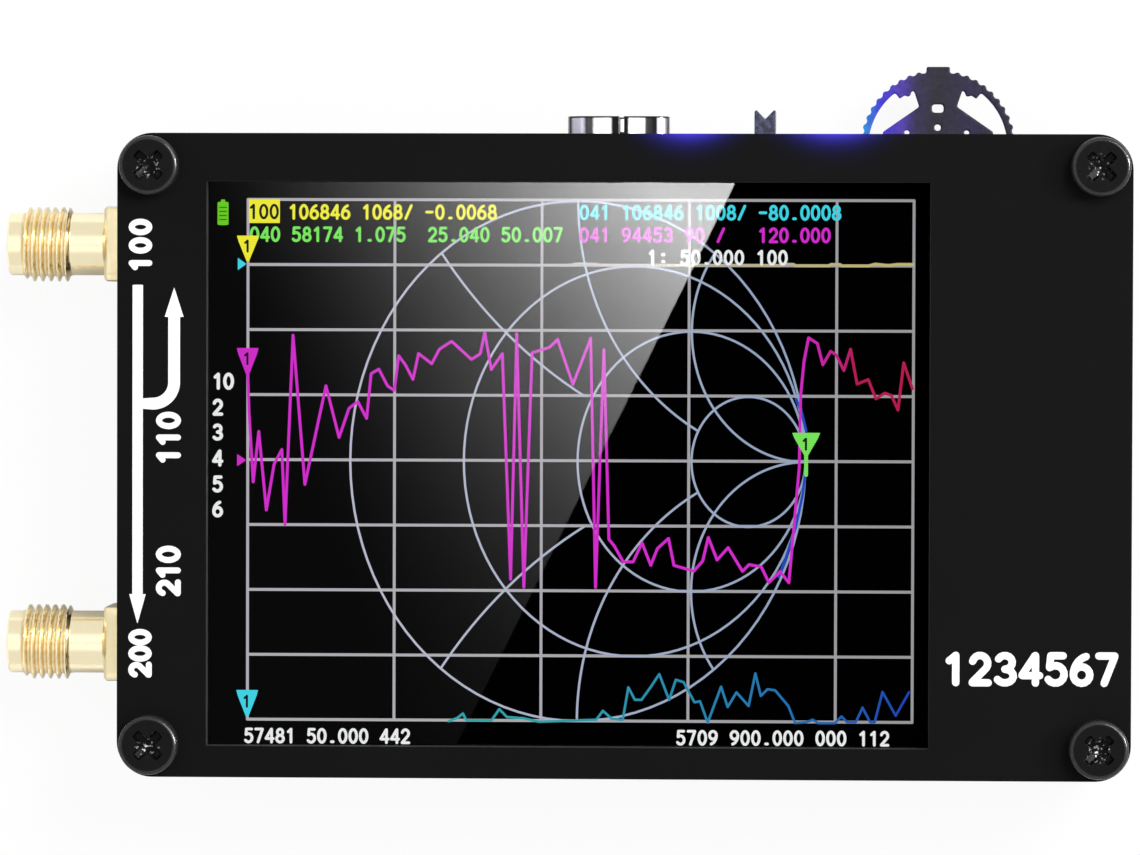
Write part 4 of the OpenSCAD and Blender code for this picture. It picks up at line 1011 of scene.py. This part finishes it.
    def execute(self, context):
        colors = context.scene.analyzer_colors
        line, trace, pen = mm(context.scene.analyzer_screen, "line", "trace", "stroke")
        self.show("grid_lines", self.grid(line), colors.grid, colors.grid_far, (110, 316))
        self.show("chart_circles", self.chart(line * 0.78), colors.chart, colors.chart_far, (90, 266))
        dim_blue = [0.8 * v for v in colors.blue]
        for name, points, width, near, far, between in (
                ("first", FIRST_TRACE, line * 1.04, colors.grid, colors.gold, (150, 315)),
                ("second", FLOOR_TRACE, trace * 0.85, colors.teal, dim_blue, (150, 315)),
                ("fourth", PHASE_TRACE, trace, colors.magenta, colors.crimson, (262, 290))):
            strokes = beads(on_screen(points), width, FILM_TOP + LEVELS[name], THIN)
            self.show(name + "_trace", strokes, near, far, between)
        hub = [[(268, 102.3), (266, 94.3), (263.5, 88.3)],
               [(268, 119.3), (266.5, 131.3), (263.5, 145.3), (259, 159.3), (256, 167.3)]]
        self.show("third_trace", [self.line(points, trace, "third") for points in hub], colors.blue)
        self.marks(pen, colors)
        self.settings(pen, colors)
        return {"FINISHED"}


class ANALYZER_OT_printing(AnalyzerOperator, bpy.types.Operator):
    """Print the arrows and plain numbers on the front panel"""
    bl_idname = "analyzer.printing"
    bl_label = "Printing"

    def execute(self, context):
        thick, pen, bold = mm(context.scene.analyzer_screen, "ink", "label", "bold")
        level, put = FACE + 0.002, MIDDLE[:2]
        bar, branch, fork, width, bend = -41.0, -37.92, 4.35, 0.88, 1.8
        shaft = np.array([(bar, 14.36), (bar, -11.74), (bar, -11.75), (bar, -14.19)]) + put
        turn = arc(branch - bend, fork + bend, bend, bend, -90, 0, 24)
        tip = [(branch, 11.67), (branch, 11.68), (branch, 14.11)]
        path = np.concatenate([[(bar + width / 2 + 0.01, fork)], turn, tip]) + put
        marks = [stroke(shaft, [width, width, 1.4, 0.04], level, thick, 0.02),
                 stroke(path, [width] + [1.0] * (len(path) - 3) + [1.6, 0.04], level, thick, 0.01)]
        for text, x, y, height, pitch, stroke_width, turned in (
                ("100", -40.03, 15.7, 1.5, 1.55, pen, 90), ("200", -40.03, -18.6, 1.5, 1.38, pen, 90),
                ("110", -37.58, -0.55, 1.62, 1.5, pen, 90), ("210", -37.58, -11.7, 1.62, 1.42, pen, 90),
                ("1234567", 27.25, -18.9, 2.3, 2.13, bold, 0)):
            marks += number(text, x + put[0], y + put[1], height, pitch, stroke_width, level, thick, turned)
        finish_piece("printed_marks", mesh_of("printed_marks", marks), ink())
        return {"FINISHED"}


class ANALYZER_OT_controls(AnalyzerOperator, bpy.types.Operator):
    """Finish the USB socket, the power switch, the jog switch and the lights"""
    bl_idname = "analyzer.controls"
    bl_label = "Controls"
    softness: length("Edge softness", "Radius of the edges of the switch's knob", 0.12)
    steel_edge: length("Steel edge", "Radius of the edges of the USB shell", 0.07)
    grain: length("Lever mesh", "Distance between the points of the lever's rounded mesh", 0.085)

    def lever(self):
        """The frame's lever with holes cut through its hub, and all its corners melted round."""
        level, deep, rounding = (LEVER_LOW[2] + LEVER_HIGH[2]) / 2, 2, 0.18
        cutters = []
        for x, y, wide, high in ((-0.02, 3.35, 1.0, 0.72), (-0.03, 1.72, 0.56, 0.56), (-2.65, 1.3, 0.5, 0.4),
                                 (2.45, 1.3, 0.5, 0.4)):
            middle, half = np.array([PIVOT_X + x, PIVOT_Y + y, level]), np.array([wide / 2, high / 2, deep])
            cutters.append(rounded_box(middle - half, middle + half, rounding))
        mesh = cut_through(merged("jog_lever_shape", NODES["jog_lever"].data, NEAR_CAD), cutters)
        replaced = ("jog_lever",)
        piece = finish_piece("jog_lever_shape", mesh, lever_plastic(), "lever", replaced, 50)
        remesh = piece.modifiers.new("melt", "REMESH")
        remesh.mode = "VOXEL"
        remesh.voxel_size = self.grain
        remesh.use_smooth_shade = True
        smooth = piece.modifiers.new("round", "SMOOTH")
        smooth.factor = 0.5
        smooth.iterations = 6
        return piece

    def execute(self, context):
        softness, steel_edge = mm(self, "softness", "steel_edge")
        low, high = corners("usb_shell")
        steel = rolled_steel(low[0], high[0], high[1])
        soft_edged("usb_shell_soft", "usb_shell", steel, "case", steel_edge)
        dress(moulded("black plastic", (0.012, 0.012, 0.012)), "usb_insert", "switch_base", "jog_base")
        dress(gold(), "usb_contacts")
        plated = metal("tin plate", (0.6, 0.6, 0.6), (0.45, 0.45, 0.44), 0.4)
        dress(plated, "switch_frame", "switch_pins", "jog_cover", "jog_contacts")
        dress(moulded("natural plastic", (0.66, 0.66, 0.62)), "jog_slider")
        soft_edged("power_knob_soft", "power_knob", knob_plastic(), "knob", softness)
        self.lever()
        dress(lit_lens(), "status_leds")
        return {"FINISHED"}


class ANALYZER_OT_electronics(AnalyzerOperator, bpy.types.Operator):
    """Finish the main board, its chips and shields, and the battery"""
    bl_idname = "analyzer.electronics"
    bl_label = "Electronics and battery"

    def execute(self, context):
        dress(board_mask(), "main_board")
        shield = metal("shield tin", (0.66, 0.66, 0.67), (0.52, 0.52, 0.53), 0.8, (6, 1, 1))
        dress(shield, "port_1_shield", "port_2_shield")
        dress(moulded("chip moulding", (0.01, 0.01, 0.011), 0.1), "processor", "audio_codec", "clock_chip",
              "mixers", "charger_chip", "regulators")
        dress(metal("crystal can", (0.7, 0.7, 0.7), (0.6, 0.6, 0.6), 0.3), "crystals")
        dress(moulded("ceramic", (0.3, 0.2, 0.11), 0.1), "chip_parts")
        dress(pouch_foil(*corners("battery")), "battery")
        dress(insulation(sum(corners("battery_leads"))[1] / 2), "battery_leads")
        dress(moulded("cream plastic", (0.72, 0.66, 0.5)), "battery_plug", "battery_socket")
        return {"FINISHED"}


def stage_mesh(name, xs, ys, z, paint):
    """A level rectangle of the stage, which is no part of the object."""
    mesh = raw_mesh(name, [np.array([[[(x, y, z) for y in ys] for x in xs]], float)])
    mesh.materials.append(paint)
    thing = bpy.data.objects.new(name, mesh)
    bpy.context.scene.collection.objects.link(thing)
    return thing


class ANALYZER_OT_stage(AnalyzerOperator, bpy.types.Operator):
    """Set the pale floor, the soft light, the reflected light panel and the camera"""
    bl_idname = "analyzer.stage"
    bl_label = "Stage"
    card_height: length("Light panel height", "Height of the light panel over the screen's glass", 600)
    floor_reach: length("Floor reach", "From the middle of the floor to its edges", 1500)

    def floor(self):
        """A pale floor that the camera sees nearly white, with a faint shadow."""
        p = Paint("pale floor", (0.9, 0.9, 0.9), 0.9, specular_ior_level=0.0)
        camera = p.node("ShaderNodeLightPath", output="Is Camera Ray")
        white = p.node("ShaderNodeEmission", {"Color": WHITE, "Strength": 1.0})
        p.show(p.blend(camera * 0.92, p.plain, white))
        span = [side * self.floor_reach / MM for side in (-1, 1)]
        return stage_mesh("floor", span, span, 0.0, p.material)

    def light_panel(self):
        """The card that the glass mirrors: lit left of a slanted edge, and dark right of it.

        Its light is a power of a level that grows to the right and falls off downwards. The card's point that
        shows at a place on the glass lies beyond it by share times that place's distance from the camera.
        """
        share = self.card_height / MM / (CAMERA_PLACE[2] - GLASS_TOP)
        left, right, low, high = -35.6, 26.2, -25, 23.6         # where it shows, from the panel's middle
        top, lean, growth, waning = 22.1, 0.38, 0.0199, 0.000316
        power, gain, most, slope, least = 2.5, 41.0, 21.5, 1.3, 0.1
        slant, offset, blur = 0.4918, 2.02, 0.15
        p = Paint("light panel")
        across = (p.x + share * CAMERA_PLACE[0]) / (1 + share) - MIDDLE[0]
        up = (p.y + share * CAMERA_PLACE[1]) / (1 + share) - MIDDLE[1]
        down = top - up
        level = ((across - left - down * lean) * (growth - down * waning)).maths("MAXIMUM", 0.0)
        lit = 1 - (across - up * slant + offset).over(0, blur)
        glow = ((level ** power * gain).maths("MINIMUM", most) + level * slope + least) * lit
        p.show(p.node("ShaderNodeEmission", {"Color": WHITE, "Strength": glow}))
        spans = [[(MIDDLE[axis] + place) * (1 + share) - CAMERA_PLACE[axis] * share for place in places]
                 for axis, places in enumerate(((left, right), (low, high)))]
        card = stage_mesh("light_panel", *spans, GLASS_TOP + self.card_height / MM, p.material)
        card.visible_camera = card.visible_diffuse = card.visible_shadow = False
        return card

    def world(self, scene):
        """Soft light from all round, seen as white, and a little brighter overhead where metal mirrors it."""
        scene.world = bpy.data.worlds.new("studio")
        scene.world.use_nodes = True
        p = Nodes(scene.world.node_tree)
        soft, mirrored, overhead = 0.75, 0.88, 0.4
        up = p.node("ShaderNodeSeparateXYZ", {0: p.node("ShaderNodeTexCoord", output="Generated")}, 2)
        glossy = p.node("ShaderNodeLightPath", output="Is Glossy Ray")
        level = glossy * (up.over(0.87, 0.08) * overhead + mirrored - soft) + soft
        camera = p.node("ShaderNodeLightPath", output="Is Camera Ray")
        light, white = (p.node("ShaderNodeBackground", {"Color": WHITE, "Strength": strength})
                        for strength in (level, 1.0))
        p.show(p.blend(camera, light, white), "World Output")

    def lamp(self, name, place, energy, size):
        """A square lamp that faces the floor under the panel's middle."""
        light = bpy.data.lights.new(name, "AREA")
        light.energy = energy
        light.size = size
        lamp = bpy.data.objects.new(name, light)
        lamp.location = place
        aim = Vector((*MIDDLE[:2] * MM, 0)) - Vector(place)
        lamp.rotation_euler = aim.to_track_quat("-Z", "Y").to_euler()
        bpy.context.scene.collection.objects.link(lamp)
        return lamp

    def camera(self, scene):
        """The photograph's camera."""
        camera = bpy.data.cameras.new("camera")
        camera.lens = CAMERA_LENS
        camera.sensor_width = 36
        camera.clip_start = 0.01
        camera.clip_end = 20
        eye = bpy.data.objects.new("camera", camera)
        eye.location = [c * MM for c in CAMERA_PLACE]
        eye.rotation_euler = [math.radians(a) for a in CAMERA_TURN]
        scene.collection.objects.link(eye)
        scene.camera = eye

    def execute(self, context):
        self.floor()
        self.light_panel()
        self.world(context.scene)
        self.lamp("key", (0.4, 0.35, 0.6), 5.0, 0.35)
        rim = self.lamp("rim", (0.55, 0.12, 0.28), 9.0, 0.12)
        rim.visible_diffuse = False
        self.camera(context.scene)
        context.scene.view_settings.view_transform = "Standard"
        return {"FINISHED"}


class ANALYZER_PT_sidebar(bpy.types.Panel):
    """Lists the analyzer's groups of pieces"""
    bl_idname = "ANALYZER_PT_sidebar"
    bl_label = "Antenna Analyzer"
    bl_space_type = "VIEW_3D"
    bl_region_type = "UI"
    bl_category = "Analyzer"

    def draw(self, context):
        for operator in OPERATORS:
            self.layout.operator(operator.bl_idname)
        for key, group in GROUPS.items():
            for name in group.__annotations__:
                self.layout.prop(getattr(context.scene, key), name)


GROUPS = {"analyzer_ports": PortSizes, "analyzer_colors": ScreenColors, "analyzer_screen": ScreenSizes}
OPERATORS = (
    ANALYZER_OT_stage, ANALYZER_OT_panels, ANALYZER_OT_screws, ANALYZER_OT_ports, ANALYZER_OT_display,
    ANALYZER_OT_readout, ANALYZER_OT_printing, ANALYZER_OT_controls, ANALYZER_OT_electronics)
CLASSES = (*GROUPS.values(), *OPERATORS, ANALYZER_PT_sidebar)


def register():
    for cls in CLASSES:
        bpy.utils.register_class(cls)
    for key, cls in GROUPS.items():
        setattr(bpy.types.Scene, key, bpy.props.PointerProperty(type=cls))


def unregister():
    for key in GROUPS:
        delattr(bpy.types.Scene, key)
    for cls in reversed(CLASSES):
        bpy.utils.unregister_class(cls)


def main():
    """Registers the classes and makes every group of pieces."""
    register()
    for operator in OPERATORS:
        family, name = operator.bl_idname.split(".")
        getattr(getattr(bpy.ops, family), name)()


if __name__ == "__main__":
    main()
